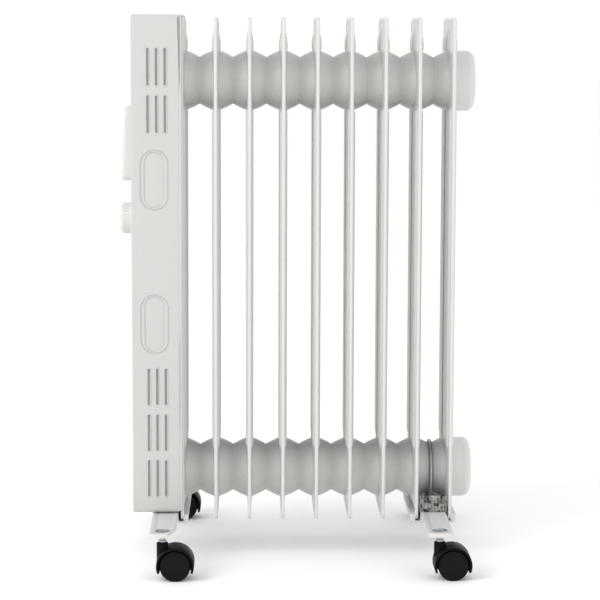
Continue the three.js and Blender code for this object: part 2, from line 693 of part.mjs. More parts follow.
// A pressed crossbar with a rolled rim that carries one pair of casters.
function footBracket(hookSides) {
  const outline = roundedRectangle(BRACKET_WIDTH, BRACKET_LENGTH, BRACKET_CORNER);
  const inset = 2 * BRACKET_SHEET;
  const hollow = roundedRectangle(BRACKET_WIDTH - inset, BRACKET_LENGTH - inset, BRACKET_CORNER - BRACKET_SHEET);
  const bar = slab(outline, BRACKET_RIM, "z", [0, 0, BRACKET_TOP - BRACKET_RIM / 2]);
  const under = slab(hollow, BRACKET_RIM, "z", [0, 0, BRACKET_TOP - BRACKET_RIM / 2 - BRACKET_SHEET]);
  const holes = [-1, 1].flatMap((side) => [
    rod(U_BOLT_ROD + SLOT_GAP, FIN_PITCH, "z", [0, side * uBoltRadius(), BRACKET_TOP]),
    rod(STEM_RADIUS + SEAM_GAP, FIN_PITCH, "z", [0, side * CASTER_SPREAD, BRACKET_TOP]),
  ]);
  return union([bar.subtract(under), ...hookSides.map(finHook)]).subtract(union(holes));
}

// The pin that stands in the bracket's hole and in the hood's sleeve.
function casterStem() {
  const length = STEM_PROUD + BRACKET_RIM + STEM_NECK + STEM_ENGAGEMENT;
  return rod(STEM_RADIUS, length, "z", [0, 0, BRACKET_TOP + STEM_PROUD - length / 2]);
}

// The hood over both wheels, the web between them and the socket that turns on the stem.
function casterHood() {
  const axle = [CASTER_TRAIL, 0, WHEEL_HEIGHT];
  const shell = rod(HOOD_RADIUS, HOOD_WIDTH, "y", axle, WHEEL_SIDES);
  const room = rod(HOOD_RADIUS - HOOD_WALL, 2 * HOOD_WIDTH, "y", axle, WHEEL_SIDES);
  const below = block(4 * HOOD_RADIUS, 2 * HOOD_WIDTH, HOOD_RADIUS, [CASTER_TRAIL, 0, HOOD_LIP - HOOD_RADIUS / 2]);
  const web = rod(HOOD_RADIUS - 1, WEB_THICKNESS, "y", axle, WHEEL_SIDES);
  const sleeveHeight = SOCKET_TOP - WHEEL_HEIGHT;
  const sleeve = rod(SOCKET_RADIUS, sleeveHeight, "z", [0, 0, SOCKET_TOP - sleeveHeight / 2]);
  const wheelRoom = room.subtract(block(4 * HOOD_RADIUS, WEB_THICKNESS, 4 * HOOD_RADIUS, axle));
  const body = union([shell, web, sleeve]).subtract(wheelRoom).subtract(below);
  const stemBore = rod(STEM_RADIUS + RUNNING_GAP, 2 * SOCKET_TOP, "z");
  const axleBore = rod(AXLE_RADIUS + SEAM_GAP, HOOD_WIDTH, "y", axle);
  return body.subtract(stemBore).subtract(axleBore);
}

function casterWheel() {
  const half = WHEEL_WIDTH / 2;
  const rim = [[WHEEL_RADIUS, -half], [WHEEL_RADIUS, half]];
  return turned(ringProfile(rim, AXLE_RADIUS + RUNNING_GAP), "y", WHEEL_SIDES, true);
}

function addCaster(parent, place, y) {
  const caster = subgroup(parent, 0, y, 0);
  const wheelOffset = WEB_THICKNESS / 2 + WHEEL_GAP + WHEEL_WIDTH / 2;
  addMesh(caster, `caster_stem_${place}`, casterStem(), ZINC);
  addMesh(caster, `caster_hood_${place}`, casterHood(), BLACK);
  const axleLength = 2 * (wheelOffset + WHEEL_WIDTH / 2 - 1);
  const axle = addMesh(caster, `caster_axle_${place}`, rod(AXLE_RADIUS, axleLength, "y"), ZINC);
  axle.position.set(CASTER_TRAIL, 0, WHEEL_HEIGHT);
  [["a", -1], ["b", 1]].forEach(([letter, side]) => {
    const wheel = addMesh(caster, `caster_wheel_${place}_${letter}`, casterWheel(), BLACK);
    wheel.position.set(CASTER_TRAIL, side * wheelOffset, WHEEL_HEIGHT);
  });
}

// ---------------------------------------------------------------- assembly

function addRadiator(heater) {
  for (let i = 1; i <= FIN_COUNT; i++) {
    const fin = addMesh(heater, `fin_${i}`, finSection(i === FIN_COUNT), ENAMEL);
    fin.position.set((i - 1) * FIN_PITCH, 0, FIN_BOTTOM);
  }
  addMesh(heater, "end_cap_top", headerEndCap(), ENAMEL).position.set(LAST_FIN, 0, HEADER_TOP);
  addMesh(heater, "end_cap_bottom", headerEndCap(), ENAMEL).position.set(LAST_FIN, 0, HEADER_LOW);
  addMesh(heater, "blanking_cap", blankingCap(), ENAMEL).position.z = HEADER_TOP;
  addMesh(heater, "oil_filler_plug", oilFillerPlug(), ZINC).position.z = HEADER_TOP;
  addMesh(heater, "element_socket", elementSocket(), ZINC).position.z = HEADER_LOW;
  addMesh(heater, "element_flange", elementFlange(), BRASS).position.z = HEADER_LOW;
  addMesh(heater, "heating_element", heatingElement(), ZINC).position.z = HEADER_LOW;
}

function addControls(heater) {
  addMesh(heater, "front_cover", frontCover(), PLASTIC);
  addMesh(heater, "chassis_plate", chassisPlate(), ZINC);
  addMesh(heater, "control_pod", controlPod(), PLASTIC);
  const switchHeight = COVER_TOP - POD_DROP - ROCKER_DROP;
  [["right", -1], ["left", 1]].forEach(([place, side]) => {
    const y = side * ROCKER_SPREAD;
    addMesh(heater, `switch_body_${place}`, switchBody(), BLACK).position.set(COVER_FRONT, y, switchHeight);
    const key = addMesh(heater, `rocker_${place}`, rocker(), BLACK);
    key.position.set(rockerPivot(), y, switchHeight);
    key.rotation.y = -ROCKER_TILT;
  });
  const lensHeight = COVER_TOP - POD_DROP + LENS_RISE;
  addMesh(heater, "pilot_lens", pilotLens(), LENS).position.set(COVER_FRONT - SEAM_GAP, 0, lensHeight);
  const knobHeight = COVER_TOP - KNOB_DROP;
  addMesh(heater, "thermostat_knob", thermostatKnob(), PLASTIC).position.z = knobHeight;
  addMesh(heater, "thermostat_shaft", thermostatShaft(), ZINC).position.z = knobHeight;
  addMesh(heater, "thermostat_body", thermostatBody(), BAKELITE).position.z = knobHeight;
  addMesh(heater, "cable_gland", cableGland(), BLACK).position.set(...GLAND_PLACE);
}

// The pieces that are fixed to the front of the chassis plate.
function addChassisParts(heater) {
  const face = CHASSIS_FACE - SEAM_GAP;
  const terminals = addMesh(heater, "terminal_block", block(...TERMINAL_BLOCK), BAKELITE);
  terminals.position.set(face - TERMINAL_BLOCK[0] / 2, 0, FIN_BOTTOM + TERMINAL_BLOCK_RISE);
  const cutout = addMesh(heater, "thermal_cutout", rod(CUTOUT_RADIUS, CUTOUT_THICKNESS, "x"), ZINC);
  cutout.position.set(face - CUTOUT_THICKNESS / 2, 0, FIN_BOTTOM + CUTOUT_RISE);
  const tilt = subgroup(heater, face - TILT_CASE[0] / 2, 0, FIN_BOTTOM + TILT_RISE);
  addMesh(tilt, "tilt_switch_case", tiltCase(), BAKELITE);
  addMesh(tilt, "tilt_pendulum", tiltPendulum(), ZINC).position.set(-1, 0, TILT_LENGTH / 2);
}

function addFeet(heater) {
  const ends = [["front", BRACKET_PLACES[0], [1]], ["rear", BRACKET_PLACES[1], [-1, 1]]];
  ends.forEach(([end, x, hooks]) => {
    const foot = subgroup(heater, x, 0, 0);
    addMesh(foot, `bracket_${end}`, footBracket(hooks), ENAMEL);
    addMesh(foot, `u_bolt_${end}`, uBolt(), ZINC).position.z = HEADER_LOW;
    const nutHeight = BRACKET_TOP - BRACKET_SHEET - SEAM_GAP - WING_NUT_HEIGHT / 2;
    [["right", -1], ["left", 1]].forEach(([place, side]) => {
      const nut = addMesh(foot, `wing_nut_${end}_${place}`, wingNut(), ZINC);
      nut.position.set(0, side * uBoltRadius(), nutHeight);
      addCaster(foot, `${end}_${place}`, side * CASTER_SPREAD);
    });
  });
}

const model = new THREE.Group();
const heater = subgroup(model, -(FRONT_LIMIT + REAR_LIMIT) / 2, 0, 0);
addRadiator(heater);
addControls(heater);
addChassisParts(heater);
addFeet(heater);

export default model;
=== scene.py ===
"""Oil filled radiator heater: nine fins, a front control box and two foot brackets on twin-wheel casters.

Shapes are worked out in millimetres and brought to metres once, when a piece is finished.
X runs along the row of fins with the controls at -X, -Y is the right-hand side and the floor is z = 0.
"""

import math

import bmesh
import bpy
from bpy.props import FloatProperty, FloatVectorProperty, IntProperty, PointerProperty
from mathutils import Matrix, Vector


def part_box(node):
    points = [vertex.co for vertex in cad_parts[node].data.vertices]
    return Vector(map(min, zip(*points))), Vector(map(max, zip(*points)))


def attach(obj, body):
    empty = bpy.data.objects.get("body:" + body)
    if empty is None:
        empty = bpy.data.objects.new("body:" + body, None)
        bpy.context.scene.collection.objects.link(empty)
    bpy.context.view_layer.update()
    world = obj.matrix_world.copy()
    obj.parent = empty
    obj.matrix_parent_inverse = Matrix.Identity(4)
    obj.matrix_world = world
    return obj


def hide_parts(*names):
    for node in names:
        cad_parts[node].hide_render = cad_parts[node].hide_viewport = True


bl_info = {
    "name": "Oil Filled Radiator Heater",
    "version": (1, 0, 0),
    "blender": (4, 5, 0),
    "location": "3D View > Sidebar > Heater",
    "description": "Builds the looks of a nine-fin oil filled heater on twin-wheel casters",
    "category": "Add Mesh",
}

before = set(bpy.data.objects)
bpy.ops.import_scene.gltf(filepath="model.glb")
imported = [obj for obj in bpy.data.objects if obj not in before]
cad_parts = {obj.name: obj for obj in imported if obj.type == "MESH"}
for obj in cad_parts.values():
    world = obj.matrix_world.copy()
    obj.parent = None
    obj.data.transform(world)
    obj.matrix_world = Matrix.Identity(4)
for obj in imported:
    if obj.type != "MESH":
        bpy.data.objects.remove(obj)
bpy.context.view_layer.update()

PLACES = [end + "_" + side for end in ("front", "rear") for side in ("right", "left")]


def box(node):
    """A CAD node's lowest and highest corner, in millimetres."""
    low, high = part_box(node)
    return low * 1000, high * 1000


def centre(node):
    """The middle of a CAD node's box, in millimetres."""
    low, high = box(node)
    return (low + high) / 2


FIRST_FIN = centre("fin_1").x
FIN_PITCH = centre("fin_2").x - FIRST_FIN
FIN_COUNT = 9
FIN_LOW, FIN_HIGH = box("fin_2")
HEADERS = [centre("end_cap_bottom").z, centre("end_cap_top").z]
COVER_LOW, COVER_HIGH = box("front_cover")
COVER_FACE = COVER_LOW.x


# ---------------------------------------------------------------- properties


def length(label, default, note):
    """A length property, from its default in millimetres."""
    return FloatProperty(
        name=label, description=note, default=default / 1000, min=0, unit="LENGTH", precision=4
    )


def number(label, default, note):
    """A property that counts something."""
    return IntProperty(name=label, description=note, default=default, min=1)


def linear(code):
    """An sRGB hex colour as linear red, green, blue and alpha."""
    parts = [int(code[i : i + 2], 16) / 255 for i in (1, 3, 5)]
    return [c / 12.92 if c <= 0.04045 else ((c + 0.055) / 1.055) ** 2.4 for c in parts] + [1.0]


def colour(label, code, note):
    """A colour property, from its default in sRGB hex."""
    return FloatVectorProperty(
        name=label, description=note, default=linear(code)[:3], size=3, min=0, max=1, subtype="COLOR"
    )


class HeaterFins(bpy.types.PropertyGroup):
    """Sizes of the pressed steel fins and the headers that join them."""

    hem: length("Hem", 3.8, "Thickness of the folded edge round a fin")
    channel_thickness: length("Channel thickness", 8.5, "Thickness over an oil channel")
    channel_width: length("Channel width", 50, "Width of an oil channel at its foot")
    channel_offset: length("Channel offset", 27, "From the fin's middle to a channel's middle")
    channel_flank: length("Channel flank", 5, "Width of the flank along a channel")
    channel_taper: length("Channel taper", 24, "Length over which a channel's ends thin out")
    channel_margin: length("Channel margin", 6, "From the fin's end to the channel's end")
    corner: length("Corner", 10, "Radius of the fin's corners")
    header_radius: length("Header radius", 34.2, "Radius of a header where it meets a fin")
    seam_radius: length("Seam radius", 26.6, "Radius of a header at the seam between two fins")
    cap_radius: length("End cap radius", 34.3, "Radius of the caps behind the last fin")
    cap_corner: length("End cap corner", 8.5, "Rounding of the caps' rims")


class HeaterBox(bpy.types.PropertyGroup):
    """Sizes of the control box."""

    wall: length("Wall", 2, "Thickness of the cover")
    corner: length("Corner", 6, "Rounding of the cover's long edges")
    front_edge: length("Front edge", 2.2, "Rounding round the cover's front face")
    slot_width: length("Slot width", 2.8, "Width of a vent slot")
    slot_length: length("Slot length", 41.5, "Length of a vent slot")
    slot_columns: number("Slot columns", 3, "Columns of vent slots in each side")
    column_pitch: length("Column pitch", 9.6, "From one column of slots to the next")
    row_pitch: length("Row pitch", 52.3, "From one row of slots to the next")
    lip: length("Slot lip", 0.7, "How far the rolled lip round a slot stands out")
    recess_width: length("Recess width", 32.7, "Width of a pressed recess")
    recess_length: length("Recess length", 68, "Length of a pressed recess")


class HeaterControls(bpy.types.PropertyGroup):
    """Sizes of the knob, switches and lens."""

    knob_ribs: number("Knob ribs", 30, "Grip ribs round the thermostat knob")
    pod_corner: length("Pod corner", 8, "Corner radius of the switch housing")
    pod_edge: length("Pod edge", 3, "Rounding round the switch housing's face")
    bezel: length("Bezel", 0.9, "How far a switch frame stands out of its housing")


class HeaterFeet(bpy.types.PropertyGroup):
    """Sizes of the foot brackets and casters."""

    rim: length("Rim", 4.3, "Depth of a bracket's rolled rim")
    sheet: length("Sheet", 2, "Thickness of a bracket's sheet")
    bolt_rod: length("Bolt rod", 2.5, "Radius of the U-bolts")
    hood_wall: length("Hood wall", 2.6, "Thickness of a caster's hood")
    wheel_edge: length("Wheel edge", 1.6, "Rounding of a wheel's tread")


class HeaterFinish(bpy.types.PropertyGroup):
    """Colours of the finishes."""

    enamel: colour("Radiator enamel", "#CFCECC", "White powder coat on the fins")
    # The cover's white is the fins' enamel made darker: painted shade for the stronger light on its front
    # face.
    cover: colour("Cover enamel", "#BEBDBB", "White powder coat on the control box")
    plastic: colour("White plastic", "#D2D2D0", "Moulded switch housing and knob")
    black: colour("Black plastic", "#0C0C0C", "Moulded hoods and wheels")


class HeaterStage(bpy.types.PropertyGroup):
    """The floor, light and camera."""

    floor: colour("Floor", "#FDFDFC", "Studio floor")
    floor_radius: length("Floor radius", 30000, "Radius of the floor")
    key: FloatProperty(name="Key light", description="Power of the main light", default=38, unit="POWER")
    fill: FloatProperty(name="Fill light", description="Power of the fill light", default=8, unit="POWER")
    sky: FloatProperty(name="Sky", description="Strength of the even light from all round", default=1.02)
    aim: FloatProperty(
        name="Aim", description="Height that the lights point at", default=0.3, unit="LENGTH"
    )


GROUPS = {
    "heater_fins": HeaterFins,
    "heater_box": HeaterBox,
    "heater_controls": HeaterControls,
    "heater_feet": HeaterFeet,
    "heater_finish": HeaterFinish,
    "heater_stage": HeaterStage,
}


class Millimetres:
    """Reads a property group's lengths in millimetres."""

    def __init__(self, group):
        self.group = group

    def __getattr__(self, name):
        value = getattr(self.group, name)
        return value if isinstance(value, int) else 1000 * value


# ---------------------------------------------------------------- shapes


def place(axis, middle, u, v, along):
    """A point given across and along an axis through a middle point."""
    offset = {"x": (along, u, v), "y": (u, along, v), "z": (u, v, along)}[axis]
    return Vector(middle) + Vector(offset)


def loft(bm, rings, closed=False):
    """Skins rings of points in order. A closed loft joins its last ring to its first; others are capped."""
    rows = [[bm.verts.new(point) for point in ring] for ring in rings]
    count = len(rows[0])
    for near, far in zip(rows, rows[1:] + rows[:1] if closed else rows[1:]):
        for i in range(count):
            j = (i + 1) % count
            bm.faces.new((near[i], near[j], far[j], far[i]))
    if not closed:
        bm.faces.new(rows[0][::-1])
        bm.faces.new(rows[-1])


def turned(bm, profile, axis, middle, sides=48, closed=False):
    """A turned piece from (radius, distance along the axis) points."""
    round_it = [(math.cos(t), math.sin(t)) for t in (2 * math.pi * i / sides for i in range(sides))]
    rings = [[place(axis, middle, r * u, r * v, w) for u, v in round_it] for r, w in profile]
    loft(bm, rings, closed)


def arc(u, v, radius, start, end, steps=6):
    """Points on an arc, its angles in degrees."""
    turns = [math.radians(start + (end - start) * i / steps) for i in range(steps + 1)]
    return [(u + radius * math.cos(t), v + radius * math.sin(t)) for t in turns]


def outline(width, height, corner, steps=6, stations=()):
    """A rounded rectangle as (u, v, outward u, outward v), with points at stations up its long sides."""
    x, y = width / 2 - corner, height / 2 - corner
    points = []
    for cx, cy, start in ((x, y, 0), (-x, y, 90), (-x, -y, 180), (x, -y, 270)):
        for u, v in arc(0, 0, 1, start, start + 90, steps):
            points.append((cx + corner * u, cy + corner * v, u, v))
        if start == 90:
            points += [(-width / 2, v, -1, 0) for v in sorted(stations, reverse=True)]
        if start == 270:
            points += [(width / 2, v, 1, 0) for v in sorted(stations)]
    return points


def inset(points, depth):
    """An outline drawn in by a depth."""
    return [(u - nu * depth, v - nv * depth) for u, v, nu, nv in points]


def block(bm, low, high):
    """A plain block between two corners."""
    corners = [(low[0], low[1]), (high[0], low[1]), (high[0], high[1]), (low[0], high[1])]
    loft(bm, [[(x, y, z) for x, y in corners] for z in (low[2], high[2])])


def tube(bm, path, radius, sides=16):
    """A round bar along a path of points."""
    rings = []
    normal = None
    for i, point in enumerate(path):
        point = Vector(point)
        tangent = (Vector(path[min(i + 1, len(path) - 1)]) - Vector(path[max(i - 1, 0)])).normalized()
        if normal is None:
            normal = tangent.orthogonal().normalized()
        normal = (normal - tangent * normal.dot(tangent)).normalized()
        across = tangent.cross(normal)
        turns = [2 * math.pi * k / sides for k in range(sides)]
        rings.append([point + radius * (normal * math.cos(t) + across * math.sin(t)) for t in turns])
    loft(bm, rings)


def copied(node):
    """A CAD node's own mesh, merged, in millimetres."""
    bm = bmesh.new()
    bm.from_mesh(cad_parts[node].data)
    bmesh.ops.scale(bm, vec=(1000,) * 3, verts=bm.verts)
    bmesh.ops.remove_doubles(bm, verts=bm.verts, dist=1e-3)
    bmesh.ops.dissolve_limit(bm, angle_limit=math.radians(0.5), verts=bm.verts, edges=bm.edges)
    return bm


def mark_sharp(bm, angle):
    """Shades a mesh smooth, apart from the edges whose faces turn by more than an angle."""
    for face in bm.faces:
        face.smooth = True
    for edge in bm.edges:
        edge.smooth = edge.calc_face_angle(0) < math.radians(angle)


def draft(name, bm, angle=35):
    """An object from a mesh in millimetres, its edges sharp above an angle."""
    bmesh.ops.remove_doubles(bm, verts=bm.verts, dist=1e-4)
    bmesh.ops.recalc_face_normals(bm, faces=bm.faces)
    bmesh.ops.scale(bm, vec=(0.001,) * 3, verts=bm.verts)
    mark_sharp(bm, angle)
    mesh = bpy.data.meshes.new(name)
    bm.to_mesh(mesh)
    bm.free()
    obj = bpy.data.objects.new(name, mesh)
    bpy.context.scene.collection.objects.link(obj)
    return obj


def lofted(name, rings, angle=35, closed=False):
    """An object skinned over rings of points."""
    bm = bmesh.new()
    loft(bm, rings, closed)
    return draft(name, bm, angle)


def lathed(name, profile, axis, middle, sides=48, angle=35, closed=False):
    """An object turned from (radius, distance along the axis) points."""
    bm = bmesh.new()
    turned(bm, profile, axis, middle, sides, closed)
    return draft(name, bm, angle)


def settle(obj):
    """Turns an object's modifiers into its plain mesh."""
    bpy.context.view_layer.update()
    graph = bpy.context.evaluated_depsgraph_get()
    shown = obj.evaluated_get(graph)
    mesh = bpy.data.meshes.new_from_object(shown, preserve_all_data_layers=True, depsgraph=graph)
    obj.modifiers.clear()
    obj.data = mesh
    return obj


def cut(obj, *cutters):
    """Takes other objects out of one, and removes them."""
    for cutter in cutters:
        modifier = obj.modifiers.new("Cut", "BOOLEAN")
        modifier.operation = "DIFFERENCE"
        modifier.solver = "MANIFOLD"
        modifier.object = cutter
    settle(obj)
    for cutter in cutters:
        bpy.data.objects.remove(cutter)
    return obj


def soften(obj, width, segments=2, angle=35):
    """Rounds an object's edges by a width in millimetres."""
    modifier = obj.modifiers.new("Round", "BEVEL")
    modifier.width = width / 1000
    modifier.segments = segments
    modifier.limit_method = "ANGLE"
    modifier.angle_limit = math.radians(angle)
    modifier.use_clamp_overlap = True
    modifier = obj.modifiers.new("Even", "WEIGHTED_NORMAL")
    modifier.keep_sharp = True
    settle(obj)
    for face in obj.data.polygons:
        face.use_smooth = True
    return obj


def sharpen(obj, angle=35):
    """Marks edges sharp above an angle again, after a cut."""
    bm = bmesh.new()
    bm.from_mesh(obj.data)
    mark_sharp(bm, angle)
    bm.to_mesh(obj.data)
    bm.free()
    return obj


def join(obj, *others):
    """Adds other objects' meshes to one, and removes them."""
    bm = bmesh.new()
    for part in (obj, *others):
        bm.from_mesh(part.data)
    bm.to_mesh(obj.data)
    bm.free()
    for part in others:
        bpy.data.objects.remove(part)
    return obj


def fit(obj, material, body, slot, *nodes):
    """Gives a finished piece its material and body, and hides the CAD nodes that it stands for. The slot
    argument is not used.
    """
    obj.data.materials.clear()
    obj.data.materials.append(bpy.data.materials[material])
    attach(obj, body)
    if nodes:
        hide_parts(*nodes)
    return obj


# ---------------------------------------------------------------- node trees


def add(tree, kind, links=None, **settings):
    """Adds a node, sets its settings, and links or sets its inputs."""
    node = tree.nodes.new(kind)
    for name, value in settings.items():
        setattr(node, name, value)
    for socket, source in (links or {}).items():
        if isinstance(source, bpy.types.NodeSocket):
            tree.links.new(source, node.inputs[socket])
        else:
            node.inputs[socket].default_value = source
    return node


def geometry_tree(name, inputs):
    """An empty Geometry Nodes tree with a geometry in and out, named inputs and a material."""
    tree = bpy.data.node_groups.new(name, "GeometryNodeTree")
    tree.interface.new_socket("Geometry", in_out="INPUT", socket_type="NodeSocketGeometry")
    tree.interface.new_socket("Geometry", in_out="OUTPUT", socket_type="NodeSocketGeometry")
    for label, kind in {**inputs, "Material": "NodeSocketMaterial"}.items():
        tree.interface.new_socket(label, in_out="INPUT", socket_type=kind)
    return tree, add(tree, "NodeGroupInput").outputs


def end_tree(tree, given, points, **rotation):
    """Puts the shape on points, makes the copies real and gives them their material."""
    links = {"Points": points, "Instance": given["Geometry"], **rotation}
    instances = add(tree, "GeometryNodeInstanceOnPoints", links)
    real = add(tree, "GeometryNodeRealizeInstances", {"Geometry": instances.outputs[0]})
    links = {"Geometry": real.outputs[0], "Material": given["Material"]}
    painted = add(tree, "GeometryNodeSetMaterial", links)
    add(tree, "NodeGroupOutput", {"Geometry": painted.outputs[0]})


def row_tree():
    """Copies of a shape in a straight row."""
    tree, given = geometry_tree("Row", {"Count": "NodeSocketInt", "Step": "NodeSocketVector"})
    line = add(tree, "GeometryNodeMeshLine", {"Count": given["Count"], "Offset": given["Step"]})
    end_tree(tree, given, line.outputs[0])


def grid_tree():
    """Copies of a shape in columns along X and rows along Z, from the first column and lowest row."""
    sizes = {
        "Columns": "NodeSocketInt",
        "Column pitch": "NodeSocketFloat",
        "Rows": "NodeSocketInt",
        "Row pitch": "NodeSocketFloat",
    }
    tree, given = geometry_tree("Grid", sizes)
    across = add(tree, "ShaderNodeCombineXYZ", {"X": given["Column pitch"]})
    up = add(tree, "ShaderNodeCombineXYZ", {"Z": given["Row pitch"]})
    row = add(tree, "GeometryNodeMeshLine", {"Count": given["Columns"], "Offset": across.outputs[0]})
    column = add(tree, "GeometryNodeMeshLine", {"Count": given["Rows"], "Offset": up.outputs[0]})
    links = {"Points": column.outputs[0], "Instance": row.outputs[0]}
    rows = add(tree, "GeometryNodeInstanceOnPoints", links)
    points = add(tree, "GeometryNodeRealizeInstances", {"Geometry": rows.outputs[0]})
    end_tree(tree, given, points.outputs[0])


def ring_tree():
    """Copies of a shape turned round the X axis, from a first one at the top."""
    tree, given = geometry_tree("Ring", {"Count": "NodeSocketInt"})
    points = add(tree, "GeometryNodeMeshLine", {"Count": given["Count"], "Offset": (0, 0, 0)})
    index = add(tree, "GeometryNodeInputIndex")
    share = add(tree, "ShaderNodeMath", {0: index.outputs[0], 1: given["Count"]}, operation="DIVIDE")
    angle = add(tree, "ShaderNodeMath", {0: share.outputs[0], 1: 2 * math.pi}, operation="MULTIPLY")
    turn = add(tree, "ShaderNodeCombineXYZ", {"X": angle.outputs[0]})
    end_tree(tree, given, points.outputs[0], Rotation=turn.outputs[0])


def repeated(obj, tree, material, **values):
    """Runs a tree on an object and keeps the result as its plain mesh."""
    modifier = obj.modifiers.new(tree, "NODES")
    modifier.node_group = bpy.data.node_groups[tree]
    values["Material"] = bpy.data.materials[material]
    for item in modifier.node_group.interface.items_tree:
        if item.in_out == "INPUT" and item.name.replace(" ", "_") in values:
            modifier[item.identifier] = values[item.name.replace(" ", "_")]
    return settle(obj)


def move(obj, x, y, z):
    """Moves an object's mesh by millimetres."""
    obj.data.transform(Matrix.Translation(Vector((x, y, z)) / 1000))
    return obj


# ---------------------------------------------------------------- finishes


def texture(tree, kind, size, **settings):
    """A texture in Object coordinates, its pattern of a size in millimetres."""
    where = add(tree, "ShaderNodeTexCoord")
    return add(tree, kind, {"Vector": where.outputs["Object"], "Scale": 1000 / size, **settings})


def grain(tree, size, depth):
    """Fine relief with bumps of a size and depth in millimetres."""
    noise = texture(tree, "ShaderNodeTexNoise", size, Detail=2.0)
    links = {"Height": noise.outputs["Fac"], "Strength": 1.0, "Distance": depth / 1000}
    return add(tree, "ShaderNodeBump", links).outputs[0]


def blended(tree, share, low, high):
    """A mix of two colours by a share from 0 to 1."""
    mix = add(tree, "ShaderNodeMix", {"Factor": share}, data_type="RGBA")
    mix.inputs[6].default_value = low
    mix.inputs[7].default_value = high
    return mix.outputs[2]


def patches(tree, size, low, high):
    """A slow change between two values or colours, over patches of a size in millimetres."""
    share = texture(tree, "ShaderNodeTexNoise", size, Detail=3.0).outputs["Fac"]
    if isinstance(low, float):
        links = {"Value": share, "To Min": low, "To Max": high}
        return add(tree, "ShaderNodeMapRange", links).outputs[0]
    return blended(tree, share, low, high)


def crystals(tree, size, low, high):
    """Two colours mixed by another share in each crystal, its size in millimetres."""
    cells = texture(tree, "ShaderNodeTexVoronoi", size)
    tone = add(tree, "ShaderNodeSeparateColor", {"Color": cells.outputs["Color"]})
    return blended(tree, tone.outputs[0], low, high)


def shader(name, base, **sockets):
    """A material with a Principled shader and its constant sockets set."""
    material = bpy.data.materials.new(name)
    material.use_nodes = True
    tree = material.node_tree
    principled = tree.nodes["Principled BSDF"]
    principled.inputs["Base Color"].default_value = base
    for socket, value in sockets.items():
        principled.inputs[socket.replace("_", " ")].default_value = value
    material.diffuse_color = base
    return tree, principled.inputs


def shade_of(base, share):
    """A colour made a little darker or lighter."""
    return [min(1, c * share) for c in base[:3]] + [1.0]


